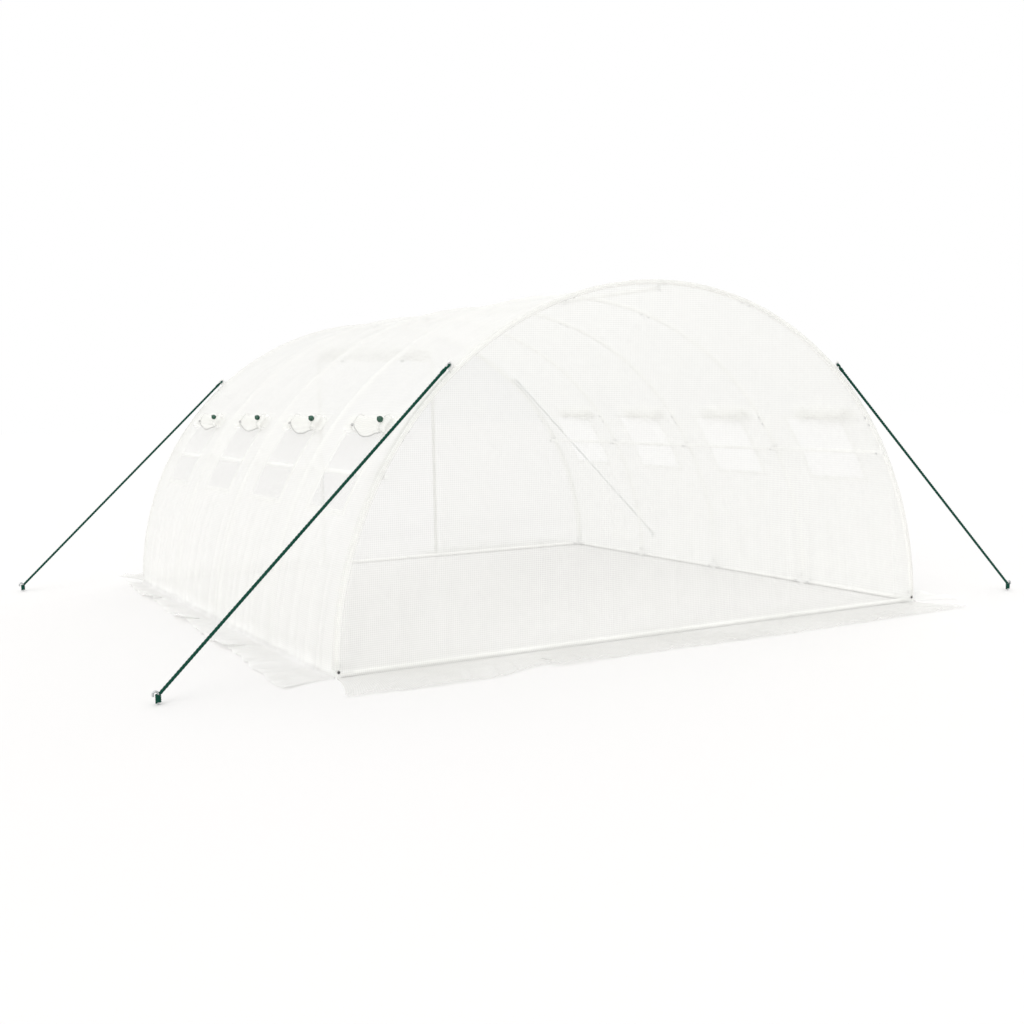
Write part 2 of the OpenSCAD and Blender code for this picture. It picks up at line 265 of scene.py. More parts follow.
def arrow_points(name, spots):
    """Bare points, each with the direction that it faces."""
    mesh = bpy.data.meshes.new(name)
    mesh.from_pydata([spot for spot, facing in spots], [], [])
    arrows = mesh.attributes.new("out", "FLOAT_VECTOR", "POINT")
    arrows.data.foreach_set("vector", np.array([facing for spot, facing in spots], float).ravel())
    return mesh


def arch_point(r, angle, y):
    """A point at a distance from the tunnel's middle line, at an angle up from its right side."""
    return r * math.cos(angle), y, r * math.sin(angle)


def frame_screw_spots():
    """Where each screw sits on the frame, and which way its head faces."""
    spots = []
    for y in hoop_ys:
        inward = -1.0 if y > 0.01 else 1.0
        for angle in joint_angles:
            for shift in (-joint_screw_shift, joint_screw_shift):
                a = angle + shift / hoop_r
                spots.append((arch_point(hoop_r - tube_r, a, y), arch_point(-1, a, 0)))
        for a in rail_angles:
            spots.append((arch_point(hoop_r, a, y + inward * sleeve_r), (0, inward, 0)))
            below = arch_point(rail_r - sleeve_r, a, y + inward * clamp_screw_shift)
            spots.append((below, arch_point(-1, a, 0)))
        for side in (-1, 1):
            inner = side * (hoop_r - sleeve_r)
            spots.append(((inner, y, socket_screw_z), (-side, 0, 0)))
            for shift in (-socket_screw_shift, socket_screw_shift):
                if abs(y + shift) < hoop_ys[-1]:
                    spots.append(((inner, y + shift, base_z), (-side, 0, 0)))
            if y in (hoop_ys[0], hoop_ys[-1]):
                corner = (side * (hoop_r - socket_screw_shift), y + inward * sleeve_r, base_z)
                spots.append((corner, (0, inward, 0)))
    return spots


zinc = zinc_steel()
screw_heads = screw_tree()
frame_screws = grown("frame_screws", arrow_points("screw_points", frame_screw_spots()), screw_heads,
                     {**screw_sizes, "Material": zinc})
settle(frame_screws, "peg")

# The cover
# One sheet of white film with a sewn-in grid of threads runs from skirt to skirt over the hoops.
# It is pulled tight, dips a little between the hoops, and falls in soft folds towards the ground.
# The skirts are denser than the walls, and painted whiter: a painted highlight for the light on them where
# they lie on the ground.
solid_half = 0.0015
film_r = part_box("roof_cover")[1].z - solid_half
half_length = solid_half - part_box("front_end_panel")[1].y
bay = hoop_ys[1] - hoop_ys[0]
window_low = math.radians(23.5)
window_high = math.radians(37.0)
window_half = 0.25
window_ys = [(a + b) / 2 for a, b in zip(hoop_ys, hoop_ys[1:])]
film_lift = 0.0018
bend_r = 0.028
base_angle = math.asin(bend_r / film_r)
foot_length = bend_r * math.pi / 2
sag_depth = 0.016
slack_depth = 0.005
slack_folds = (5, 0.5, 1.6)  # seed, shortest and longest wave
fold_depth = 0.015
wall_creases = {1: (11, 0.18, 0.8), -1: (12, 0.18, 0.8)}
flare_depth = 0.010
taut_angles = (math.radians(6), math.radians(38))
draped_angles = (math.radians(5), math.radians(36))
flare_angle = math.radians(9)
end_fade = 0.16
skirt_least = 0.135
skirt_gain = 0.135
skirt_swing = 0.05
skirt_grid = 0.24
skirt_splay = 0.105
splay_length = 0.45
crease_rise = 0.016
skirt_creases = {1: (21, 0.16, 0.7), -1: (22, 0.16, 0.7)}
edge_rise = 0.004
side_pleat = (0.08, 0.055, 0.034)  # half width, shift and rise
thread_pitch = 0.011
low_density = 0.16
grid_step = 0.017
# The whiter tone of the skirts is painted light.
skirt_painted_light_white = (0.985, 0.985, 0.975)


def spaced(stops, step):
    """Grid lines through every stop, about a step apart."""
    lines = [stops[0]]
    for a, b in zip(stops, stops[1:]):
        count = max(1, round(abs(b - a) / step))
        lines += [a + (b - a) * (k + 1) / count for k in range(count)]
    return np.array(lines)


def soft_step(low, high, value):
    """0 below low, 1 above high and an even curve between them."""
    t = np.clip((value - low) / (high - low), 0, 1)
    return t * t * (3 - 2 * t)


def waves(along, seed, shortest, longest, count):
    """A sum of waves of several lengths along a line, each with its own start and strength."""
    draw = np.random.default_rng(seed)
    total = np.zeros_like(along)
    for length in np.geomspace(shortest, longest, count):
        total += np.sin(along * math.tau / length + draw.uniform(0, math.tau)) * draw.uniform(0.5, 1.0)
    return total


def folds(along, seed, shortest, longest):
    """Uneven soft folds from 0 to 1 along a line, as slack film takes them."""
    return 0.5 + 0.5 * np.tanh(0.55 * waves(along, seed, shortest, longest, 6))


def creases(along, seed, shortest, longest):
    """Narrow ridges from 0 to 1 with flatter film between them."""
    return (1 - np.abs(np.tanh(0.9 * waves(along, seed, shortest, longest, 5)))) ** 1.2


def pleat(along, middle, half, shift, rise):
    """A pleat in a skirt's edge: how far it draws the edge back along itself, and how far it lifts it."""
    apart = (along - middle) / half
    lift = rise * soft_step(-1, 0.4, apart) * (1 - soft_step(0.6, 4.0, apart))
    return shift * np.sin(math.pi * np.clip(apart, -1, 1)), lift


def cover_radius(side, angle, y):
    """How far the film lies from the tunnel's middle line, at an angle up the arch on one side."""
    phase = np.clip((y - hoop_ys[0]) / bay, 0, len(hoop_ys) - 1) % 1
    dip = 4 * phase * (1 - phase)
    inside = soft_step(0.0, end_fade, half_length - np.abs(y))
    high = soft_step(*taut_angles, angle)
    slack = folds(y + 0.35 * np.cos(angle) * side, *slack_folds) - 0.5
    low = 1 - soft_step(*draped_angles, angle)
    drape = creases(y + 0.06 * angle, *wall_creases[side])
    flare = 1 - soft_step(0.0, flare_angle, angle)
    return (film_r - sag_depth * high * dip + slack_depth * high * slack * inside
            + fold_depth * low * drape * inside + flare_depth * flare * inside)


def on_cover(side, angle, y, lift=0.0):
    """Points on the film at an angle up the arch, lifted off it by a little."""
    r = cover_radius(side, angle, y) + lift
    return np.stack([side * r * np.cos(angle), y + 0 * r, r * np.sin(angle)], -1)


def skirt_width(y):
    """Width of the side skirt: wider to the front, and swung out towards the front of each bay."""
    swing = np.clip((hoop_ys[-1] - y) / bay, 0, 3.999) % 1
    return skirt_least + skirt_gain * (half_length - y) / (2 * half_length) + skirt_swing * (swing - 0.5)


def side_skirt(side, share, y):
    """Points of a side skirt, at a share of its width out from the wall."""
    wall = on_cover(side, base_angle, y)
    out = bend_r + share * (skirt_width(y) - bend_r)
    rise = crease_rise * share * creases(y, *skirt_creases[side]) + edge_rise * share ** 3
    splay = skirt_splay * share ** 1.5 * soft_step(half_length - splay_length, half_length, np.abs(y))
    along = y + np.sign(y) * splay
    for hoop in hoop_ys[1:-1]:
        back, lift = pleat(y, hoop, *side_pleat)
        along = along - share * back
        rise = rise + share * lift
    return np.stack([wall[..., 0] + side * out, along, film_lift + rise], -1)


def wall_foot(side, turn, y):
    """Points of the bend where the wall turns out on to the ground."""
    wall = on_cover(side, base_angle, y)
    low = side_skirt(side, 0.0, y)
    x = wall[..., 0] + (low[..., 0] - wall[..., 0]) * (1 - math.cos(turn))
    z = low[..., 2] + (wall[..., 2] - low[..., 2]) * (1 - math.sin(turn))
    return np.stack([x, y, z], -1)


def grid_faces(rows, columns, keep=None):
    """The quads of a sheet laid out in rows and columns; keep says which of them are there."""
    at = np.arange(rows * columns).reshape(rows, columns)
    quads = np.stack([at[:-1, :-1], at[:-1, 1:], at[1:, 1:], at[1:, :-1]], -1)
    return quads[keep] if keep is not None else quads.reshape(-1, 4)


def sheet_mesh(name, points, faces, material, flat=None):
    """A smooth mesh from points and faces, with its places on the flat cut as a UV map in metres."""
    used, faces = np.unique(np.asarray(faces), return_inverse=True)
    faces = faces.reshape(-1, 4)
    mesh = bpy.data.meshes.new(name)
    mesh.from_pydata(points.reshape(-1, 3)[used].tolist(), [], faces.tolist())
    if flat is not None:
        cut = mesh.uv_layers.new(name="cut")
        cut.data.foreach_set("uv", flat.reshape(-1, 2)[used][faces.ravel()].ravel())
    mesh.polygons.foreach_set("use_smooth", [True] * len(faces))
    mesh.materials.append(material)
    return mesh


def sheet_piece(name, points, material, flat, keep=None, over=False):
    """A sheet in rows and columns of points as a piece; over turns its face to the other side."""
    faces = grid_faces(*points.shape[:2], keep)
    return place_piece(name, sheet_mesh(name, points, faces[:, ::-1] if over else faces, material, flat))


def flat_grid(columns, rows):
    """Places on a flat cut, from those of its columns and its rows."""
    return np.stack(np.broadcast_arrays(columns[None, :], rows[:, None]), -1)


def cut_place(tree):
    """The place on the flat cut, in metres along and across it."""
    cut = add_node(tree, "ShaderNodeUVMap", uv_map="cut").outputs[0]
    parts = add_node(tree, "ShaderNodeSeparateXYZ", {0: cut}).outputs
    return parts[0], parts[1]


def thread_ridge(tree, place, pitch):
    """From 0 midway between two threads to 0.5 on a thread."""
    step = calc(tree, "FRACT", calc(tree, "MULTIPLY", place, 1 / pitch))
    return calc(tree, "ABSOLUTE", calc(tree, "SUBTRACT", step, 0.5))


def see_through(material, body, skin, glow_share, glow):
    """Ends a material as a thin sheet that is lit from behind too, and is clear where its body is not."""
    tree = material.node_tree
    lit = add_node(tree, "ShaderNodeMixShader", {0: glow_share, 1: skin.outputs[0], 2: glow.outputs[0]})
    clear = add_node(tree, "ShaderNodeBsdfTransparent")
    return end_material(material, add_node(tree, "ShaderNodeMixShader", {
        0: body, 1: clear.outputs[0], 2: lit.outputs[0]}))


def film_material(name, opacity, thread_opacity, glow_share=0.48, white=(0.92, 0.92, 0.902), low_share=0.08,
                  low_tone=(0.76, 0.765, 0.735)):
    """White film with a grid of threads in it, which lets part of the light straight through.

    Near the ground its colour moves by a share towards another tone, and it grows denser; the cover's paler
    tone there is painted light."""
    material, tree, place = start_material(name)
    lines = [reach(tree, thread_ridge(tree, way, thread_pitch), 0.36, 0.47) for way in cut_place(tree)]
    thread = calc(tree, "MAXIMUM", *lines)
    cloud = grain(tree, place, 1.6, 5.0)
    crinkle = grain(tree, place, 22.0, 6.0)
    height = add_node(tree, "ShaderNodeSeparateXYZ", {0: place}).outputs[2]
    low = calc(tree, "MULTIPLY", reach(tree, height, 0.01, 0.12, low_share, 0.0),
               reach(tree, cloud, 0.35, 0.65, 0.6, 1.0))
    colour = between(tree, low, white, low_tone)
    denser = calc(tree, "ADD", calc(tree, "MULTIPLY", thread, thread_opacity - opacity),
                  calc(tree, "MULTIPLY", low, low_density))
    body = calc(tree, "ADD", reach(tree, cloud, 0.3, 0.7, opacity - 0.05, opacity + 0.05), denser)
    relief = bump(tree, thread, 0.0003, 0.35, bump(tree, crinkle, 0.004, 0.35))
    skin = add_node(tree, "ShaderNodeBsdfPrincipled", {
        "Base Color": colour, "Roughness": reach(tree, crinkle, 0.3, 0.7, 0.32, 0.52),
        "Specular IOR Level": 0.35, "Normal": relief})
    glow = add_node(tree, "ShaderNodeBsdfTranslucent", {"Color": colour, "Normal": relief})
    return see_through(material, body, skin, glow_share, glow)


window_edges = [y + e for y in window_ys for e in (-window_half, window_half)]
cover_y = spaced(sorted([-half_length, half_length] + hoop_ys + window_edges), grid_step)
skirt_shares = np.linspace(1, 0, 13)
foot_turns = np.linspace(math.pi / 2, 0, 6)[1:]
arch_angles = spaced([base_angle, window_low, window_high, math.pi / 2], grid_step / film_r * 1.2)[1:]


def half_cover(side):
    """Rows of points of one half of the cover, with each row's distance up the flat cut."""
    rows = [(side_skirt(side, share, cover_y), -foot_length - share * skirt_grid) for share in skirt_shares]
    rows += [(wall_foot(side, turn, cover_y), -foot_length * turn / (math.pi / 2)) for turn in foot_turns]
    rows += [(on_cover(side, angle, cover_y), (angle - base_angle) * film_r) for angle in arch_angles]
    return rows


def middles(values):
    """The middle of each step in a line of values."""
    return (values[1:] + values[:-1]) / 2


def make_cover(material):
    """The whole cover, with its windows cut out."""
    right = half_cover(1)
    ridge = right[-1][1]
    rows = right + [(row, 2 * ridge - up) for row, up in half_cover(-1)[-2::-1]]
    up_arch = np.concatenate([np.zeros(len(skirt_shares) + len(foot_turns)), arch_angles])
    middle_angle = middles(np.concatenate([up_arch, up_arch[-2::-1]]))
    in_band = (middle_angle > window_low) & (middle_angle < window_high)
    in_bay = np.min(np.abs(middles(cover_y)[:, None] - np.array(window_ys)), 1) < window_half
    return sheet_piece("cover_film", np.array([row for row, up in rows]), material,
                       flat_grid(cover_y, np.array([up for row, up in rows])),
                       ~(in_band[:, None] & in_bay[None, :]))


# Near the ground the cover is painted whiter, as painted light on its skirts.
cover_film = make_cover(film_material("white_thread_film", 0.74, 0.83, low_share=1.0, low_tone=skirt_painted_light_white))
settle(cover_film, "film", "roof_cover", "left_shoulder_cover", "right_shoulder_cover", "left_window_band",
       "right_window_band", "left_wall_cover", "right_wall_cover", "left_skirt", "right_skirt")

# The window screens
# Fine white mesh of woven threads fills each window, sewn in behind its hem.
# The weave lets more light through than the film, so a window is brighter from inside.
screen_overlap = 0.008
screen_step = 0.022
screen_depth = 0.0012
screen_belly = 0.004
mesh_pitch = 0.0025
mesh_white = (0.98, 0.98, 0.975)
mesh_grey = (0.94, 0.94, 0.93)


def mesh_weave():
    """Woven mesh: threads that pass over and under each other, with open holes between them."""
    material, tree, place = start_material("white_window_mesh")
    along, across = cut_place(tree)
    lines = []
    heights = []
    for way, other in ((along, across), (across, along)):
        lines.append(reach(tree, thread_ridge(tree, way, mesh_pitch), 0.27, 0.31))
        wave = calc(tree, "SINE", calc(tree, "MULTIPLY", other, math.pi / mesh_pitch))
        height = calc(tree, "ADD", calc(tree, "MULTIPLY", wave, 0.3), 0.7)
        heights.append(calc(tree, "MULTIPLY", lines[-1], height))
    colour = between(tree, grain(tree, place, 30.0), mesh_white, mesh_grey)
    skin = add_node(tree, "ShaderNodeBsdfPrincipled", {
        "Base Color": colour, "Roughness": wander(tree, place, 200.0, 0.5, 0.7),
        "Normal": bump(tree, calc(tree, "MAXIMUM", *heights), 0.0006)})
    glow = add_node(tree, "ShaderNodeBsdfTranslucent", {"Color": colour})
    return see_through(material, calc(tree, "MAXIMUM", *lines), skin, 0.7, glow)


def make_screen(name, side, middle, material):
    """One window's mesh, laid just inside the film and held slack enough to belly in a little."""
    past = screen_overlap / film_r
    half = window_half + screen_overlap
    angles = spaced([window_low - past, window_high + past], screen_step / film_r)[:, None]
    ys = spaced([middle - half, middle + half], screen_step)[None, :]
    across = np.clip(1 - ((ys - middle) / window_half) ** 2, 0, 1)
    from_middle = (2 * angles - window_low - window_high) / (window_high - window_low)
    up = np.clip(1 - from_middle ** 2, 0, 1)
    angles, ys = np.broadcast_arrays(angles, ys)
    points = on_cover(side, angles, ys, -screen_depth - screen_belly * across * up)
    return sheet_piece(name, points, material, np.stack([ys, angles * film_r], -1), over=side < 0)


window_mesh = mesh_weave()
side_names = {1: "right", -1: "left"}
for side, side_name in side_names.items():
    for k, middle in enumerate(window_ys):
        screen = make_screen(f"{side_name}_window_screen_{k + 1}", side, middle, window_mesh)
        settle(screen, "mesh", f"{side_name}_window_screens")

# The window hems
# A strip of doubled film is sewn round each window on the outside, with two rows of lockstitch.
# It holds the mesh, and stands a little proud of the cover.
hem_offsets = [-0.010, -0.007, 0.003, 0.013, 0.023, 0.026]
hem_lifts = [0.0006, 0.0014, 0.0018, 0.0018, 0.0014, 0.0004]
hem_stitch_offsets = [-0.004, 0.020]
hem_counts = [33, 31, 33, 31]
stitch_lift = 0.0022
stitch_length = 0.0062
stitch_gap = 0.0024
thread_width = 0.0013
thread_light = (0.92, 0.92, 0.90)
thread_dark = (0.80, 0.80, 0.78)


def window_ring(offset, middle):
    """A closed line of (angle, y) round a window, grown outwards by an offset."""
    low = window_low - offset / film_r
    high = window_high + offset / film_r
    near = middle - window_half - offset
    far = middle + window_half + offset
    corners = np.array([(low, near), (low, far), (high, far), (high, near), (low, near)])
    runs = [np.linspace(*ends, endpoint=False) for ends in zip(corners, corners[1:], hem_counts)]
    return np.concatenate(runs + [corners[:1]]).T


def make_hem(name, side, middle, material):
    """The strip round one window."""
    rings = [window_ring(offset, middle) for offset in hem_offsets]
    points = np.array([on_cover(side, *ring, lift) for ring, lift in zip(rings, hem_lifts)])
    flat = np.array([np.stack([ys, angles * film_r], -1) for angles, ys in rings])
    return sheet_piece(name, points, material, flat, over=side > 0)


def bead_tree(name, bead, bead_inputs, follow):
    """Beads a pitch apart on every line of a mesh of edges; follow turns them along their line."""
    tree, given = node_tree(name, {"Pitch": "Float", "Size": "Vector"})
    path = add_node(tree, "GeometryNodeMeshToCurve", {0: given["Geometry"]})
    row = add_node(tree, "GeometryNodeResampleCurve", {
        "Curve": path.outputs[0], "Length": given["Pitch"]}, mode="LENGTH")
    shape = add_node(tree, bead, bead_inputs)
    copies = add_node(tree, "GeometryNodeInstanceOnPoints", {
        "Points": row.outputs[0], "Instance": shape.outputs["Mesh"], "Scale": given["Size"]})
    if follow:
        tangent = add_node(tree, "GeometryNodeInputTangent").outputs[0]
        turn = add_node(tree, "FunctionNodeAlignRotationToVector", {"Vector": tangent}, axis="X")
        tree.links.new(turn.outputs[0], copies.inputs["Rotation"])
    return end_tree(tree, given, copies)


def line_mesh(name, lines):
    """Lines of points as a mesh of edges; a line whose ends meet is closed."""
    edges = []
    first = 0
    for line in lines:
        edges += [(first + k, first + k + 1) for k in range(len(line) - 1)]
        first += len(line)
    mesh = bpy.data.meshes.new(name)
    mesh.from_pydata(np.concatenate(lines).tolist(), edges, [])
    return mesh


def sewing_thread():
    """Spun white thread, a little greyer than the film."""
    material, tree, place = start_material("white_sewing_thread")
    twist = grain(tree, place, 1500.0, 2.0)
    return opaque(material, between(tree, twist, thread_light, thread_dark),
                  reach(tree, twist, 0.3, 0.7, 0.6, 0.8), bump(tree, twist, 0.0003, 0.6))


doubled_film = film_material("doubled_thread_film", 0.66, 0.76, 0.6, white=(0.97, 0.97, 0.955))
stitches = bead_tree("thread_stitches", "GeometryNodeMeshIcoSphere", {"Radius": 0.5, "Subdivisions": 1}, True)
stitch_sizes = {"Pitch": stitch_length + stitch_gap, "Size": (stitch_length, thread_width, thread_width),
                "Material": sewing_thread()}
for side, side_name in side_names.items():
    rows = []
    for k, middle in enumerate(window_ys):
        hem = make_hem(f"{side_name}_window_hem_{k + 1}", side, middle, doubled_film)
        settle(hem, "film")
        rows += [on_cover(side, *window_ring(offset, middle), stitch_lift) for offset in hem_stitch_offsets]
    settle(grown(f"{side_name}_hem_stitches", line_mesh("hem_lines", rows), stitches, stitch_sizes), "film")

# The rolled-up window flaps
# Each window has a flap of film sewn above it, rolled up from below and hung flat against the cover.
# A tie pinches it near each end, and it sags a little between them.
roll_angle = math.radians(37.62)
roll_out = 2.0339
roll_thick = 0.052
roll_high = 0.100
roll_half = 0.27
roll_shift = 0.12
roll_turns = 2.2
roll_sag = 0.020
roll_step = 0.012
roll_seam_up = 0.080
roll_seam_lift = 0.001
layer_gap = 0.0058
near_tie_shift = 0.19
far_tie_shift = 0.17
pinch_share = 0.20
pinch_half = 0.032
plump_share = 0.16
wobble_depth = 0.006
wobble_waves = (0.10, 0.6)
ripple_share = 0.07
ripple_waves = (0.05, 0.2)
seam_steps = 6
turn_steps = 44


def rolled_edge(thick, high, turns, seam_out, seam_up):
    """A rolled sheet's edge as (out, up) points round the roll's middle, from the seam inwards."""
    straight = (high - thick) / 2
    shares = np.linspace(0, 1, seam_steps + 1)[:-1]
    path = [(seam_out + (-thick / 2 - seam_out) * t, seam_up * (1 - t)) for t in shares]
    for k in range(int(turns * turn_steps) + 1):
        r = thick / 2 - layer_gap * k / turn_steps
        arc = math.pi * r
        whole = 4 * straight + 2 * arc
        s = (k % turn_steps) / turn_steps * whole
        if s < straight:
            path.append((-r, -s))
        elif s < straight + arc:
            a = math.pi + (s - straight) / r
            path.append((r * math.cos(a), -straight + r * math.sin(a)))
        elif s < 3 * straight + arc:
            path.append((r, s - 2 * straight - arc))
        elif s < 3 * straight + 2 * arc:
            a = (s - 3 * straight - arc) / r
            path.append((r * math.cos(a), straight + r * math.sin(a)))
        else:
            path.append((-r, whole - s))
    return np.array(path)


def path_length(points):
    """The distance along a line of points to each of them."""
    return np.concatenate([[0], np.cumsum(np.linalg.norm(np.diff(points, axis=0), axis=1))])


def roll_points(edge, along, pinches, seed, sag):
    """The sheet of a roll as (out, up) for each place along it, pinched at its ties and sagging between."""
    away = np.min(np.abs(along[:, None] - np.array(pinches)[None, :]), 1)
    slim = pinch_share * np.exp(-(away / pinch_half) ** 2)
    drop = sag * soft_step(0.0, 0.17, away) + (folds(along, seed, *wobble_waves) - 0.5) * wobble_depth
    plump = 1 + plump_share * soft_step(0.03, 0.17, away)
    length = path_length(edge)
    loose = soft_step(0.02, 0.12, length)[:, None]
    ripple = folds(along[None, :] + length[:, None] * 0.4, seed + 1, *ripple_waves) - 0.5
    fat = plump * (1 + ripple_share * ripple * loose)
    return edge[:, :1] * (1 - slim * loose) * fat, edge[:, 1:] * fat - drop * loose, length


def make_window_roll(name, side, middle, seed, material):
    """One window's flap, rolled up above it, with the length of its film and its points."""
    centre = middle - roll_shift
    seam_out = film_r + roll_seam_lift - roll_out
    edge = rolled_edge(roll_thick, roll_high, roll_turns, seam_out, roll_seam_up)
    along = spaced([centre - roll_half, centre + roll_half], roll_step)
    ties = [centre - near_tie_shift, centre + far_tie_shift]
    out, up, length = roll_points(edge, along, ties, seed, roll_sag)
    c = math.cos(roll_angle)
    s = math.sin(roll_angle)
    r = roll_out + out
    points = np.stack([side * (r * c - up * s), along[None, :] + 0 * out, r * s + up * c], -1)
    return sheet_piece(name, points, material, flat_grid(along, length), over=side > 0), length[-1], points


roll_skins = {1: [], -1: []}
rolled_film = film_material("rolled_thread_film", 0.66, 0.76, 0.8, white=(0.985, 0.985, 0.975))
for side, side_name in side_names.items():
    for k, middle in enumerate(window_ys):
        flap, flap_length, skin = make_window_roll(
            f"{side_name}_window_roll_{k + 1}", side, middle, 30 + 3 * k + side, rolled_film)
        roll_skins[side].append(skin)
        settle(flap, "rolled_film", f"{side_name}_window_rolls")

# The ball ties
# Two doubled loops of white elastic go round each roll, and a dark green moulded ball closes the front one.
# A tight grey cord runs along under the roll from the front loop to a small grey knob on the roll's face at
# the rear loop.
# Their grey is painted shade: the cord for the shadow line under the roll, the knob for the dark hollow at
# its rear end.
ball_r = 0.017
ball_sides = 28
ball_seat = 0.84 * ball_r
cord_r = 0.0019
cord_sides = 8
loop_clearance = 0.0022
loop_steps = 48
under_cord_r = 0.0028
outer_turn = slice(seam_steps, seam_steps + turn_steps)
outer_row = 24
under_row = 15
knob_size = 0.5
tie_thick = roll_thick * 0.84
tie_high = roll_high * 0.98
ball_green = (0.012, 0.070, 0.042)
rubbed_green = (0.030, 0.100, 0.066)


def round_angles(sides):
    """The angles of a ring's points, with the first again at its end."""
    return np.arange(sides + 1) % sides * math.tau / sides


def cord_round(points, radius, sides, aside, closed=False):
    """Points and quads of a round cord along a line; aside is a direction that the line never takes."""
    points = np.asarray(points, float)
    if closed:
        ahead = np.roll(points, -1, 0) - np.roll(points, 1, 0)
    else:
        ahead = np.gradient(points, axis=0)
    ahead /= np.linalg.norm(ahead, axis=1)[:, None]
    first = np.cross(ahead, np.asarray(aside, float))
    first /= np.linalg.norm(first, axis=1)[:, None]
    second = np.cross(ahead, first)
    turn = round_angles(sides)[None, :, None]
    skin = points[:, None] + radius * (first[:, None] * np.cos(turn) + second[:, None] * np.sin(turn))
    if closed:
        skin = np.concatenate([skin, skin[:1]])
    return skin.reshape(-1, 3), grid_faces(len(skin), sides + 1)


def turned(profile, sides, centre, axis):
    """Points and quads of a lathe-turned shape; its profile is (radius, height) from the top down."""
    axis = Vector(axis).normalized()
    first = axis.orthogonal().normalized()
    second = axis.cross(first)
    radii, heights = np.array(profile).T[:, :, None, None]
    turn = round_angles(sides)[:, None]
    ring = np.cos(turn) * np.array(first) + np.sin(turn) * np.array(second)
    skin = np.array(centre) + heights * np.array(axis) + radii * ring
    return skin.reshape(-1, 3), grid_faces(len(profile), sides + 1)


def joined(name, parts, material):
    """Several shapes of one material as one piece: doubles merged, ends closed, faces turned outwards."""
    points = []
    faces = []
    first = 0
    for skin, quads in parts:
        points.append(skin)
        faces.append(quads + first)
        first += len(skin)
    mesh = sheet_mesh(name, np.concatenate(points), np.concatenate(faces), material)
    shape = bmesh.new()
    shape.from_mesh(mesh)
    bmesh.ops.remove_doubles(shape, verts=shape.verts, dist=1e-6)
    bmesh.ops.dissolve_degenerate(shape, edges=shape.edges, dist=1e-7)
    bmesh.ops.holes_fill(shape, edges=[e for e in shape.edges if e.is_boundary], sides=0)
    bmesh.ops.recalc_face_normals(shape, faces=shape.faces)
    shape.to_mesh(mesh)
    shape.free()
    mesh.polygons.foreach_set("use_smooth", [True] * len(mesh.polygons))
    return place_piece(name, mesh)


def ball_profile():
    """A ball with a raised parting line, a knot in its outer hole and a rounded inner hole."""
    knot = [(0.0, 1.20), (0.10, 1.19), (0.18, 1.13), (0.20, 1.04), (0.17, 0.96), (0.24, 0.955)]
    shell = []
    for k in range(3, 30):
        a = math.pi * k / 32
        proud = 1.018 if k == 16 else 1.0
        shell.append((math.sin(a) * proud, math.cos(a)))
        if k in (15, 16):
            shell.append((math.sin(a + math.pi / 90), math.cos(a + math.pi / 90)))
    inner = [(0.20, -0.955), (0.16, -0.90), (0.0, -0.88)]
    return np.array(knot + shell + inner) * ball_r


def loop_shape(place, out, up, along, thick, high):
    """A doubled loop of cord round a roll; out, up and along are the roll's directions."""
    place, out, up, along = (np.array(v, float) for v in (place, out, up, along))
    straight = (high - thick) / 2
    r = thick / 2 + loop_clearance
    loop = []
    for k in range(loop_steps):
        a = math.tau * (k + 0.5) / loop_steps
        rise = math.sin(a)
        loop.append(place + out * r * math.cos(a) + up * (r * rise + math.copysign(straight, rise)))
    lines = [np.array(loop) + along * shift for shift in (-cord_r, cord_r)]
    return [cord_round(line, cord_r, cord_sides, along, closed=True) for line in lines]


def ball_shape(place, facing, away, size=1.0):
    """A ball on a loop, facing a direction at a distance from its roll's middle."""
    facing = Vector(facing).normalized()
    centre = Vector(place) + facing * (away + size * ball_seat)
    return turned(size * ball_profile(), ball_sides, centre, facing)


def under_cord(skin, near_y, far_y):
    """A tight cord along the underside of a roll, and the knob on the roll's face that ends it, both grey as
    painted shade.
    """
    columns = np.flatnonzero((skin[0, :, 1] >= near_y) & (skin[0, :, 1] <= far_y))
    dip = soft_step(0.0, 0.45, np.linspace(1, 0, len(columns)))
    row = outer_row + (under_row - outer_row) * dip
    low = np.floor(row).astype(int)
    part = (row - low)[:, None]
    line = skin[low, columns] * (1 - part) + skin[low + 1, columns] * part
    away = line - skin[outer_turn].mean(0)[columns]
    away[:, 1] = 0
    away /= np.linalg.norm(away, axis=1)[:, None]
    cord = cord_round(line + away * under_cord_r, under_cord_r, cord_sides, (0.3, 0.1, 1.0))
    return [cord, ball_shape(line[-1], away[-1], 0.0, knob_size)]


def elastic_cord(name, light, dark):
    """Braided elastic of a light and a dark shade."""
    material, tree, place = start_material(name)
    braid = add_node(tree, "ShaderNodeTexVoronoi", {"Vector": place, "Scale": 900.0}).outputs["Distance"]
    return opaque(material, between(tree, braid, light, dark), wander(tree, place, 60.0, 0.6, 0.8),
                  bump(tree, braid, 0.0005, 0.6))


def green_plastic():
    """Dark green moulded plastic, glossy and lightly rubbed."""
    material, tree, place = start_material("dark_green_tie")
    rub = reach(tree, grain(tree, place, 130.0, 5.0), 0.5, 0.7)
    return opaque(material, between(tree, rub, ball_green, rubbed_green),
                  reach(tree, rub, 0.0, 1.0, 0.26, 0.42), bump(tree, grain(tree, place, 900.0), 0.0002, 0.3))


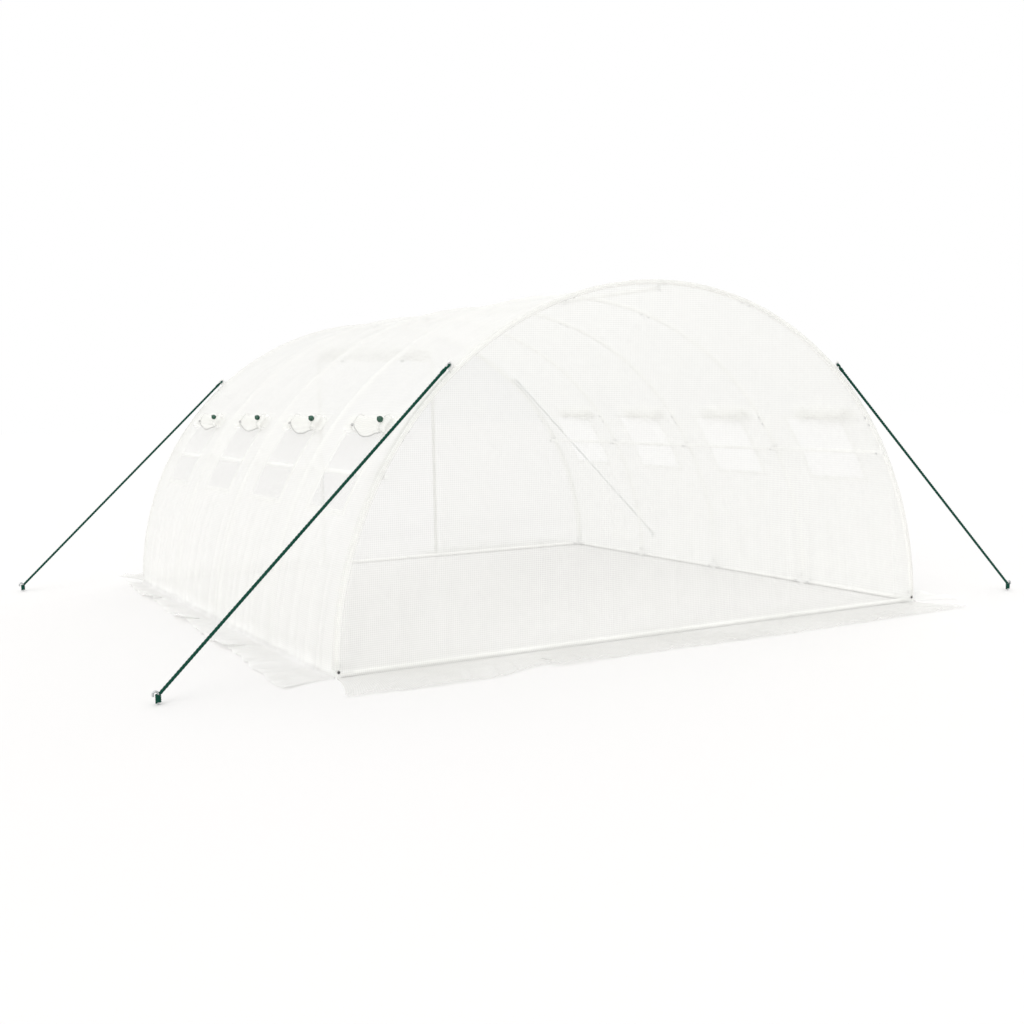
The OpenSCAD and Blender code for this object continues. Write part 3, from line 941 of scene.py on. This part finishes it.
tie_green = green_plastic()
tie_white = elastic_cord("white_elastic_cord", (0.86, 0.86, 0.84), (0.70, 0.70, 0.68))
# The grey cord's colour is painted shade, for the shadow under each roll.
shade_grey_cord = elastic_cord("grey_cord_painted_shade", (0.56, 0.56, 0.55), (0.44, 0.44, 0.43))
for side, side_name in side_names.items():
    loops = []
    cords = []
    balls = []
    out = Vector((side * math.cos(roll_angle), 0, math.sin(roll_angle)))
    up = Vector((-side * math.sin(roll_angle), 0, math.cos(roll_angle)))
    for middle, skin in zip(window_ys, roll_skins[side]):
        near = out * roll_out + Vector((0, middle - roll_shift - near_tie_shift, 0))
        far = out * roll_out + Vector((0, middle - roll_shift + far_tie_shift, 0))
        # The grey cord and knob under the roll are painted shade.
        cords += under_cord(skin, near.y, far.y)
        for place in (near, far):
            loops += loop_shape(place, out, up, (0, 1, 0), tie_thick, tie_high)
        balls.append(ball_shape(near, out, tie_thick / 2))
    settle(joined(f"{side_name}_tie_loops", loops, tie_white), "rolled_film")
    settle(joined(f"{side_name}_under_cords", cords, shade_grey_cord), "rolled_film")
    settle(joined(f"{side_name}_tie_balls", balls, tie_green), "tie", f"{side_name}_ball_ties")

# The closed front end
# One sheet of clearer film with the same threads closes the front, sewn to the cover round the arch.
# It bellies out a little, puckers along its seam, and turns out on the ground as a skirt in uneven folds.
end_bulge = 0.012
pucker_depth = 0.004
pucker_waves = (0.07, 0.3)
hang_depth = 0.010
hang_waves = (0.25, 1.1)
bow_seeds = {-1: 43, 1: 45}
end_x = film_r - 0.0004
end_skirt_cut = 0.4
end_skirt_lines = 19
end_splay = 0.11
end_crease_rise = 0.018
end_crease_waves = (0.2, 0.9)
end_skirt_seeds = {-1: 41, 1: 44}
front_skirt_x = [-2.0, -1.6, -1.3, -0.96, -0.94, -0.5, 0.6, 2.0]
front_skirt_width = [0.40, 0.445, 0.43, 0.30, 0.41, 0.37, 0.395, 0.355]
front_pleat = (-0.95, 0.10, 0.05, 0.018)  # place, half width, shift and rise
front_columns = 231
front_lines = 110


def end_bow(x, z, seed):
    """How far an end sheet stands out from the end hoop's plane."""
    from_rim = film_r - np.hypot(x, z)
    round_arch = np.arctan2(z, x)
    belly = np.clip(from_rim / 0.9, 0, 1) * soft_step(0.03, 0.5, z)
    pucker = folds(round_arch * film_r, seed, *pucker_waves) * np.exp(-np.clip(from_rim, 0, None) / 0.10)
    low_part = soft_step(0.02, 0.12, z) * (1 - soft_step(0.2, 1.3, z))
    hang = creases(x + 0.03 * z, seed + 1, *hang_waves) * low_part
    inside = soft_step(0.0, 0.05, from_rim)
    return inside * (end_bulge * belly + pucker_depth * pucker + hang_depth * hang)


def end_skirt(x, share, width, seed):
    """Points of an end's skirt as (x, out, z), at a share of its width."""
    splay = np.sign(x) * end_splay * share ** 1.5 * soft_step(film_r - 0.5, film_r, np.abs(x))
    ridges = creases(x + 0.12 * share, seed, *end_crease_waves)
    rise = end_crease_rise * share * ridges + edge_rise * share ** 3
    return x + splay, bend_r + share * (width - bend_r), film_lift + rise


def arch_top(x):
    """The height of the film's arch at places across an end."""
    return np.sqrt(film_r ** 2 - x ** 2)


def end_sheet(name, end, x, width, heights, material, pleats=(), calm=1.0, keep=None):
    """An end sheet from its skirt's edge up to the arch; end is -1 at the front and 1 at the rear."""
    bow_seed = bow_seeds[end]
    rows = []
    for share in np.linspace(1, 0, end_skirt_lines):
        along, out, z = end_skirt(x, share, width, end_skirt_seeds[end])
        for sizes in pleats:
            back, lift = pleat(x, *sizes)
            along = along - share * back
            z = z + share * lift
        rows.append((along, out, z, -foot_length - share * end_skirt_cut))
    foot_bow = end_bow(x, np.full_like(x, bend_r), bow_seed)
    for turn in foot_turns:
        z = film_lift + (bend_r - film_lift) * (1 - math.sin(turn))
        rows.append((x, foot_bow + bend_r * (1 - math.cos(turn)), z, -foot_length * turn / (math.pi / 2)))
    rows += [(x, calm * end_bow(x, z, bow_seed), z, z - bend_r) for z in heights]
    points = [np.broadcast_arrays(along, end * (half_length + out), z) for along, out, z, up in rows]
    flat = [np.broadcast_arrays(x, up) for along, out, z, up in rows]
    points = np.array(points).transpose(0, 2, 1)
    return sheet_piece(name, points, material, np.array(flat).transpose(0, 2, 1), keep, end > 0)


clear_film = film_material("clear_thread_film", 0.35, 0.45, low_share=0.5)
front_x = np.clip(film_r * np.sin(np.linspace(-1, 1, front_columns) * math.pi / 2), -end_x, end_x)
front_top = arch_top(front_x)
front_heights = [bend_r + share * (front_top - bend_r) for share in np.linspace(0, 1, front_lines)[1:]]
front_film = end_sheet("front_end_film", -1, front_x, np.interp(front_x, front_skirt_x, front_skirt_width),
                       front_heights, clear_film, [front_pleat])
settle(front_film, "film", "front_end_panel", "front_skirt")

# The rear end with its doorway
# The rear sheet is the same cut with a doorway taken out of it; its two skirts stop at the doorway.
# The tunnel is walked into here, over the base rail.
door_half = 0.5
door_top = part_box("door_edge_tapes")[1].z
rear_skirt_width = 0.40
rear_skirt_swing = 0.03
rear_skirt_folds = (47, 0.5, 1.6)
rear_side_columns = 90
door_column_step = 0.022
lines_to_lintel = 83
lines_over_lintel = 19


def rear_columns():
    """Places across the rear sheet, with lines on the doorway's sides."""
    side = film_r * np.sin(np.linspace(math.asin(door_half / film_r), math.pi / 2, rear_side_columns))
    side = np.clip(side, door_half, end_x)
    door = spaced([-door_half, door_half], door_column_step)
    return np.concatenate([-side[::-1], door[1:-1], side])


def make_rear(material):
    """The rear sheet with its skirts and doorway."""
    x = rear_columns()
    top = arch_top(x)
    lintel = np.maximum(door_top * top / arch_top(door_half), bend_r + 0.6 * (top - bend_r))
    lintel = np.where(np.abs(x) <= door_half + 1e-6, door_top, lintel)
    heights = [bend_r + s * (lintel - bend_r) for s in np.linspace(0, 1, lines_to_lintel + 1)[1:]]
    heights += [lintel + s * (top - lintel) for s in np.linspace(0, 1, lines_over_lintel + 1)[1:]]
    width = rear_skirt_width + rear_skirt_swing * (folds(x, *rear_skirt_folds) - 0.5)
    calm = soft_step(0.0, 0.25, np.abs(np.abs(x) - door_half))
    to_lintel = end_skirt_lines + len(foot_turns) + lines_to_lintel - 1
    below = np.arange(to_lintel + lines_over_lintel) < to_lintel
    keep = ~(below[:, None] & (np.abs(middles(x)) < door_half)[None, :])
    return end_sheet("rear_end_film", 1, x, width, heights, material, calm=calm, keep=keep)


rear_film = make_rear(clear_film)
settle(rear_film, "film", "rear_panel_left", "rear_panel_right", "rear_panel_top", "rear_skirts")

# The doorway's tapes
# A woven tape is sewn down each side of the doorway, and carries one half of a coarse zip.
# Two rows of stitching hold it to the film.
tape_width = 0.030
tape_half_thick = 0.0011
tape_rise = 0.004
tape_step = 0.02
tape_sides = 14
tape_sway = 0.003
sway_waves = (0.2, 0.9)
tape_y = half_length + 0.0018
tape_middle_y = tape_y + 0.0012
tape_stitch_y = tape_y + 0.0026
tape_stitch_offsets = [0.007, 0.023]
upright_ends = (0.02, door_top - 0.01)
upright_step = 0.05
zip_inset = 0.001
tooth_pitch = 0.0048
tooth_size = (0.0062, 0.0036, tooth_pitch * 0.66)
twill_pitch = 0.0022
tape_light = (0.93, 0.93, 0.915)
tape_dark = (0.84, 0.84, 0.82)


def woven_tape():
    """White twill tape."""
    material, tree, place = start_material("white_woven_tape")
    x, y, z = add_node(tree, "ShaderNodeSeparateXYZ", {0: place}).outputs
    slope = calc(tree, "ADD", z, calc(tree, "ADD", x, y))
    twill = calc(tree, "SINE", calc(tree, "MULTIPLY", slope, math.tau / twill_pitch))
    wear = grain(tree, place, 25.0, 5.0)
    return opaque(material, between(tree, reach(tree, wear, 0.35, 0.7), tape_light, tape_dark),
                  reach(tree, wear, 0.3, 0.7, 0.62, 0.8), bump(tree, twill, 0.0003, 0.6))


def tape_strip(side):
    """One tape as a closed strip with rounded edges, from the ground to the lintel."""
    heights = spaced([tape_rise, door_top + tape_rise], tape_step)[:, None]
    turn = round_angles(tape_sides)
    across = np.clip(1.3 * np.cos(turn), -1, 1) * tape_width / 2
    sway = np.clip((folds(heights, 51 + side, *sway_waves) - 0.5) * tape_sway, 0, None)
    x = side * (door_half + tape_width / 2) + across
    y = tape_middle_y + tape_half_thick * np.sin(turn) + sway
    points = np.stack(np.broadcast_arrays(x, y, heights), -1)
    return points.reshape(-1, 3), grid_faces(*points.shape[:2])


def upright(x, y):
    """A straight line up one side of the doorway."""
    heights = spaced(upright_ends, upright_step)
    return np.stack(np.broadcast_arrays(x, y, heights), -1)


tape_white = woven_tape()
door_tapes = joined("door_edge_tapes_sewn", [tape_strip(-1), tape_strip(1)], tape_white)
settle(door_tapes, "rolled_film", "door_edge_tapes")
teeth = bead_tree("zip_teeth", "GeometryNodeMeshUVSphere", {"Segments": 6, "Rings": 4, "Radius": 0.5}, False)
zip_lines = [upright(s * (door_half - zip_inset), tape_middle_y) for s in (-1, 1)]
zip_teeth = grown("door_zip_teeth", line_mesh("zip_lines", zip_lines), teeth,
                  {"Pitch": tooth_pitch, "Size": tooth_size, "Material": tape_white})
settle(zip_teeth, "rolled_film")
tape_rows = [upright(s * (door_half + e), tape_stitch_y) for s in (-1, 1) for e in tape_stitch_offsets]
settle(grown("door_tape_stitches", line_mesh("tape_lines", tape_rows), stitches, stitch_sizes), "rolled_film")

# The rolled-up door
# The door is a flap of film sewn above the doorway, rolled up from below and held by two ball ties.
# It hangs on the outside, over the lintel.
door_low, door_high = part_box("door_roll")
door_roll_y = (door_low.y + door_high.y) / 2
door_roll_z = (door_low.z + door_high.z) / 2
door_roll_d = door_high.z - door_low.z
door_turns = 6.0
door_sag = 0.006
door_step = 0.014
door_seam_up = 0.115
door_seam_lift = 0.002
door_tie_x = 0.275
door_tie_d = door_roll_d * 0.84
door_seed = 61
door_ball_angle = math.radians(60)


def make_door(material):
    """The rolled-up door, hung from its seam on the rear sheet, with the length of its film."""
    seam_out = half_length + door_seam_lift - door_roll_y
    edge = rolled_edge(door_roll_d, door_roll_d, door_turns, seam_out, door_seam_up)
    along = spaced([door_low.x, door_high.x], door_step)
    out, up, length = roll_points(edge, along, [-door_tie_x, door_tie_x], door_seed, door_sag)
    points = np.stack([along[None, :] + 0 * out, door_roll_y + out, door_roll_z + up], -1)
    return sheet_piece("door_film_roll", points, material, flat_grid(along, length)), length[-1]


door_film, door_length = make_door(rolled_film)
settle(door_film, "rolled_film", "door_roll")
ball_facing = Vector((0, math.cos(door_ball_angle), -math.sin(door_ball_angle)))
door_loops = []
door_balls = []
for x in (-door_tie_x, door_tie_x):
    place = Vector((x, door_roll_y, door_roll_z))
    door_loops += loop_shape(place, (0, 1, 0), (0, 0, 1), (1, 0, 0), door_tie_d, door_tie_d)
    door_balls.append(ball_shape(place, ball_facing, door_tie_d / 2))
settle(joined("door_tie_loops", door_loops, tie_white), "rolled_film")
settle(joined("door_tie_balls", door_balls, tie_green), "tie", "door_ball_ties")

# The end seams
# A folded strip of film binds the cover to each end sheet over the end hoops.
# It is sewn with two rows of stitches on the cover and one on the end, and shows as a pale double line.
seam_start = math.radians(1.2)
seam_step = 0.02
seam_on_cover = [(0.045, 0.0008), (0.041, 0.0016), (0.02, 0.0018), (0.003, 0.0018)]
seam_on_end = [(-0.001, 0.0014), (0.003, 0.0024), (0.012, 0.0024), (0.019, 0.0022), (0.022, 0.0012)]
seam_stitch_lift = 0.0004


def seam_rows(end):
    """Rows of points of one binding strip, from its edge on the cover over the corner to the end sheet."""
    angles = spaced([seam_start, math.pi - seam_start], seam_step / film_r)
    side_angle = np.minimum(angles, math.pi - angles)
    rows = []
    for along, lift in seam_on_cover:
        y = np.full_like(angles, end * (half_length - along))
        radii = [cover_radius(side, side_angle, y) for side in (1, -1)]
        r = np.where(angles < math.pi / 2, *radii) + lift
        rows.append(np.stack([r * np.cos(angles), y, r * np.sin(angles)], -1))
    for drop, out in seam_on_end:
        x = (film_r - drop) * np.cos(angles)
        z = (film_r - drop) * np.sin(angles)
        y = end * (half_length + end_bow(x, z, bow_seeds[end]) + out)
        rows.append(np.stack([x, y, z], -1))
    return angles, np.array(rows)


for end, end_name in ((-1, "front"), (1, "rear")):
    angles, points = seam_rows(end)
    across = path_length(points[:, len(angles) // 2])
    seam = sheet_piece(f"{end_name}_seam_strip", points, doubled_film, flat_grid(angles * film_r, across),
                       over=end > 0)
    settle(seam, "film")
    outward = seam_stitch_lift * np.stack([np.cos(angles), 0 * angles, np.sin(angles)], -1)
    rows = [points[1] + outward, points[2] + outward, points[-2] + np.array([0, end * seam_stitch_lift, 0])]
    settle(grown(f"{end_name}_seam_stitches", line_mesh("seam_lines", rows), stitches, stitch_sizes), "film")

# The guy ropes
# Four dark green ropes of three laid strands stay the end hoops, each pulled taut to its own peg.
# A rope goes through the eye of its tab, is whipped below it, and is lashed round its peg at the ground.
tab_angle = math.radians(49)
eye_r = 2.0306
peg_x = 2.87
peg_y = 2.04
rope_drop = 0.0232
rope_end_gap = 0.011
rope_lay = (0.055, 0.0042, 0.0045, 3)  # length of a turn, lay radius, strand radius and strands
whipping_span = (0.012, 0.040)
whipping_lay = (0.0046, 0.0080, 0.0023, 1)
lash_z = 0.0430
lash_span = (0.0094, 0.0486)
lash_lay = (0.0086, 0.0098, 0.0044, 1)
eye_half_width = 0.0098
eye_slack = 0.001
eye_steps = 30
eye_cord_r = 0.0056
eye_sides = 10
rope_dark = (0.001, 0.040, 0.025)
rope_light = (0.006, 0.074, 0.049)


def rope_tree():
    """Strands laid round each other along the Z axis, as a rope of a given length."""
    tree, given = node_tree("laid_strands", {
        "Rope Length": "Float", "Turns": "Float", "Lay Radius": "Float", "Strand Radius": "Float",
        "Strands": "Int"})
    coil = add_node(tree, "GeometryNodeCurveSpiral", {
        "Resolution": 14, "Rotations": given["Turns"], "Start Radius": given["Lay Radius"],
        "End Radius": given["Lay Radius"], "Height": given["Rope Length"]})
    section = add_node(tree, "GeometryNodeCurvePrimitiveCircle", {
        "Resolution": 8, "Radius": given["Strand Radius"]})
    strand = add_node(tree, "GeometryNodeCurveToMesh", {
        "Curve": coil.outputs[0], "Profile Curve": section.outputs[0], "Fill Caps": True})
    smooth = add_node(tree, "GeometryNodeSetShadeSmooth", {"Geometry": strand.outputs[0]})
    spots = add_node(tree, "GeometryNodeMeshLine", {"Count": given["Strands"], "Offset": (0, 0, 0)})
    index = add_node(tree, "GeometryNodeInputIndex")
    share = calc(tree, "DIVIDE", index.outputs[0], given["Strands"])
    turn = add_node(tree, "ShaderNodeCombineXYZ", {"Z": calc(tree, "MULTIPLY", share, math.tau)})
    return end_tree(tree, given, add_node(tree, "GeometryNodeInstanceOnPoints", {
        "Points": spots.outputs[0], "Instance": smooth.outputs[0], "Rotation": turn.outputs[0]}))


def laid_cord():
    """Dark green spun plastic fibre, with fine strands across each laid strand."""
    material, tree, place = start_material("dark_green_rope")
    drawn = add_node(tree, "ShaderNodeMapping", {"Vector": place, "Scale": (900, 900, 240)}).outputs[0]
    fibre = grain(tree, drawn, 1.0, 4.0)
    return opaque(material, between(tree, reach(tree, fibre, 0.3, 0.7), rope_dark, rope_light),
                  wander(tree, place, 12.0, 0.5, 0.75, 4.0), bump(tree, fibre, 0.0006, 0.7),
                  {"Specular IOR Level": 0.12})


rope_green = laid_cord()
rope_maker = rope_tree()


def strands(name, start, finish, lay, lay_r, strand_r, count):
    """A laid rope from start to finish as a piece; lay is the length of one turn."""
    way = Vector(finish) - Vector(start)
    made = grown(name, bpy.data.meshes.new(name + "_none"), rope_maker, {
        "Rope Length": way.length, "Turns": way.length / lay, "Lay Radius": lay_r, "Strand Radius": strand_r,
        "Strands": count, "Material": rope_green})
    made.data.transform(Matrix.Translation(start) @ way.to_track_quat("Z", "Y").to_matrix().to_4x4())
    return made


def eye_loop(centre, low, across):
    """The rope's eye: a ring from the tab's hole down round the tab's edge."""
    middle = (np.array(centre) + np.array(low)) / 2
    down = np.array(low) - np.array(centre)
    half = np.linalg.norm(down) / 2
    down /= 2 * half
    turn = np.arange(eye_steps)[:, None] * math.tau / eye_steps
    ring = middle + down * (half + eye_slack) * np.cos(turn)
    ring += np.array(across) * eye_half_width * np.sin(turn)
    return cord_round(ring, eye_cord_r, eye_sides, np.cross(down, across), closed=True)


def merge_pieces(name, pieces):
    """Several pieces of one material as one."""
    with bpy.context.temp_override(active_object=pieces[0], selected_editable_objects=pieces):
        bpy.ops.object.join()
    pieces[0].name = name
    pieces[0].data.name = name
    return pieces[0]


for side, side_name in side_names.items():
    pieces = []
    for end_name, end, hoop_y in (("front", -1, hoop_ys[0]), ("rear", 1, hoop_ys[-1])):
        name = f"{side_name}_rope_{end_name}"
        eye = Vector(arch_point(eye_r, tab_angle, hoop_y))
        eye.x *= side
        top = eye + Vector((side * math.sin(tab_angle), 0, -math.cos(tab_angle))) * rope_drop
        foot = Vector((side * peg_x, end * peg_y, lash_z))
        way = (foot - top).normalized()
        pieces.append(strands(name, top, foot - way * rope_end_gap, *rope_lay))
        whipping = [top + way * span for span in whipping_span]
        pieces.append(strands(name + "_whipping", *whipping, *whipping_lay))
        lash = [(foot.x, foot.y, z) for z in lash_span]
        pieces.append(strands(name + "_lashing", *lash, *lash_lay))
        pieces.append(joined(name + "_eye", [eye_loop(eye, top, (0, 1, 0))], rope_green))
    settle(merge_pieces(f"{side_name}_laid_ropes", pieces), "rope", f"{side_name}_guy_ropes")

# The rope tabs
# Each rope is tied to a doubled tab of white webbing, sewn into the end seam, with a steel eyelet.
# The tab's corners are rounded off.
tab_low = 2.0030
tab_high = 2.0486
tab_width = 0.044
tab_thick = 0.0046
tab_corner = 1.22
tab_steps = 48
tab_rows = [(0, 0.3), (0, 0.8), (0.06, 1.0), (0.5, 1.0), (1, 1.0), (1, -1.0), (0.5, -1.0), (0.06, -1.0),
            (0, -0.8), (0, -0.3), (0, 0.3)]
hole_r = 0.0090
eyelet_sides = 28
eyelet_rim = [(0.0080, 0.0), (0.0082, 0.0030), (0.0098, 0.0034), (0.0124, 0.0030), (0.0126, 0.0024),
              (0.0091, 0.0022)]


def tab_shape(side, y):
    """A webbing tab as rings of points from its outline in to its hole, over its front and its back."""
    out = np.array([side * math.cos(tab_angle), 0, math.sin(tab_angle)])
    up = np.array([-side * math.sin(tab_angle), 0, math.cos(tab_angle)])
    turn = round_angles(tab_steps)
    square = 1 / np.maximum(np.abs(np.cos(turn)), np.abs(np.sin(turn)))
    reach_out = np.minimum(square, tab_corner) * tab_width / 2
    rim_out = np.clip(np.cos(turn) * reach_out, tab_low - eye_r, tab_high - eye_r)
    rim_up = np.sin(turn) * reach_out
    rows = []
    for share, half in tab_rows:
        row_out = eye_r + rim_out + (hole_r * np.cos(turn) - rim_out) * share
        row_up = rim_up + (hole_r * np.sin(turn) - rim_up) * share
        row_y = np.array([0, y + half * tab_thick / 2, 0])
        rows.append(row_out[:, None] * out + row_up[:, None] * up + row_y)
    return np.concatenate(rows), grid_faces(len(tab_rows), tab_steps + 1)


def eyelet_shape(side, y):
    """The pressed eyelet in a tab's hole."""
    profile = eyelet_rim + [(r, -h) for r, h in eyelet_rim[::-1]]
    x, y, z = arch_point(eye_r, tab_angle, y)
    return turned(profile, eyelet_sides, (side * x, y, z), (0, 1, 0))


tab_spots = [(side, y) for side in (-1, 1) for y in (hoop_ys[0], hoop_ys[-1])]
tabs = joined("webbing_tabs", [tab_shape(*spot) for spot in tab_spots], tape_white)
settle(tabs, "rolled_film", "rope_tabs")
settle(joined("tab_eyelets", [eyelet_shape(*spot) for spot in tab_spots], zinc), "peg")

# The pegs and corner screws
# Each rope's peg is bent from zinc-coated steel rod, its hook turned away from the tunnel.
# A dark screw with a wide washer pins the film to each corner foot.
corner_screw_x = hoop_r - 0.004
corner_screw_y = half_length + 0.0032
corner_screw_z = 0.030
corner_screw_sizes = {"Head Width": 0.010, "Head Height": 0.004, "Washer Width": 0.015}
steel_dark = (0.10, 0.10, 0.10)
steel_worn = (0.28, 0.28, 0.28)


def dark_steel():
    """Blackened steel, worn bright in places."""
    material, tree, place = start_material("blackened_steel")
    worn = reach(tree, grain(tree, place, 300.0, 5.0), 0.52, 0.7)
    return opaque(material, between(tree, worn, steel_dark, steel_worn),
                  reach(tree, worn, 0.0, 1.0, 0.5, 0.35),
                  bump(tree, grain(tree, place, 900.0), 0.0002, 0.4), {"Metallic": 0.8})


finish_nodes(["ground_pegs"], zinc)
corner_spots = [((side * corner_screw_x, end * corner_screw_y, corner_screw_z), (0, end, 0))
                for side in (-1, 1) for end in (-1, 1)]
corner_screws = grown("corner_screws", arrow_points("corner_points", corner_spots), screw_heads,
                      {**corner_screw_sizes, "Material": dark_steel()})
settle(corner_screws, "peg")

# The studio
# A plain pale floor, an even white surround, and a soft light from the front left and one from behind.
# The floor and surround are white to the camera, and the floor keeps the shadow.
# The floor is painted a little paler round the tunnel than far from it, painted light that evens out the
# film's shade; it shows through the film alone.
surround_light = 0.94
backdrop_level = 0.86
lights = {"soft_key": (0.36, (-6.0, -5.5, 7.5)), "soft_back": (0.16, (7.0, 5.0, 6.0))}
light_angle = math.radians(50)
light_aim = Vector((0, 0, 0.8))
near_floor = (0.820, 0.813, 0.807)
far_floor = (0.720, 0.713, 0.708)
far_glow = 0.115
near_half = (2.45, 2.50, 1.0)
far_off = 1.6
floor_half = 60.0


def white_to_camera(tree):
    """1 for what the camera sees with no film before it, or in gloss or through glass."""
    path = add_node(tree, "ShaderNodeLightPath").outputs
    bare = calc(tree, "LESS_THAN", path["Transparent Depth"], 0.5)
    seen = calc(tree, "MAXIMUM", calc(tree, "MULTIPLY", path["Is Camera Ray"], bare), path["Is Glossy Ray"])
    return calc(tree, "MAXIMUM", seen, path["Is Transmission Ray"])


def pale_floor():
    """A matt floor that darkens away from the tunnel as painted shade, and that only the camera's own view
    makes white.
    """
    material, tree, apart = start_material("pale_floor")
    for operation, other in (("ABSOLUTE", (0, 0, 0)), ("SUBTRACT", near_half), ("MAXIMUM", (0, 0, 0))):
        apart = add_node(tree, "ShaderNodeVectorMath", {0: apart, 1: other}, operation=operation).outputs[0]
    apart = add_node(tree, "ShaderNodeVectorMath", {0: apart}, operation="LENGTH").outputs["Value"]
    away = reach(tree, apart, 0.0, far_off)
    matt = add_node(tree, "ShaderNodeBsdfDiffuse", {"Color": between(tree, away, near_floor, far_floor)})
    glow = calc(tree, "MULTIPLY", white_to_camera(tree), calc(tree, "MULTIPLY", away, far_glow))
    shine = add_node(tree, "ShaderNodeEmission", {"Color": (1, 1, 1, 1), "Strength": glow})
    return end_material(material, add_node(tree, "ShaderNodeAddShader", {
        0: matt.outputs[0], 1: shine.outputs[0]}))


floor_points = floor_half * np.array([(-1, -1, 0), (1, -1, 0), (1, 1, 0), (-1, 1, 0)])
floor = place_piece("studio_floor", sheet_mesh("studio_floor", floor_points, [[0, 1, 2, 3]], pale_floor()))

world = bpy.data.worlds.new("studio_surround")
bpy.context.scene.world = world
world.use_nodes = True
tree = world.node_tree
tree.nodes.clear()
past_film = add_node(tree, "ShaderNodeLightPath").outputs["Is Camera Ray"]
plain = reach(tree, past_film, 0.0, 1.0, surround_light, backdrop_level)
level = calc(tree, "MAXIMUM", plain, white_to_camera(tree))
surround = add_node(tree, "ShaderNodeBackground", {"Color": (1, 1, 1, 1), "Strength": level})
add_node(tree, "ShaderNodeOutputWorld", {"Surface": surround.outputs[0]})

for name, (share, place) in lights.items():
    light = bpy.data.lights.new(name, "SUN")
    light.angle = light_angle
    light.energy = share * math.pi
    lamp = bpy.data.objects.new(name, light)
    lamp.location = place
    lamp.rotation_euler = (light_aim - lamp.location).to_track_quat("-Z", "Y").to_euler()
    bpy.context.collection.objects.link(lamp)
bpy.context.scene.view_settings.view_transform = "Standard"

# The camera
# It stands in front and to the left at about eye height, as in the photograph.
camera_place = Vector((-4.1659, -7.6039, 1.3490))
camera_turn = math.radians(-29.56)
camera_rise = math.radians(5.20)
camera_roll = math.radians(-0.97)
back = Vector((math.sin(camera_turn) * math.cos(camera_rise), -math.cos(camera_turn) * math.cos(camera_rise),
               math.sin(camera_rise)))
right = (-back).cross(Vector((0, 0, 1))).normalized()
above = right.cross(-back)
across = right * math.cos(camera_roll) + above * math.sin(camera_roll)
above = above * math.cos(camera_roll) - right * math.sin(camera_roll)
lens = bpy.data.cameras.new("photo_camera")
lens.lens = 43.24
lens.sensor_width = 36.0
camera = bpy.data.objects.new("photo_camera", lens)
camera.matrix_world = Matrix.Translation(camera_place) @ Matrix((across, above, back)).transposed().to_4x4()
bpy.context.collection.objects.link(camera)
bpy.context.scene.camera = camera
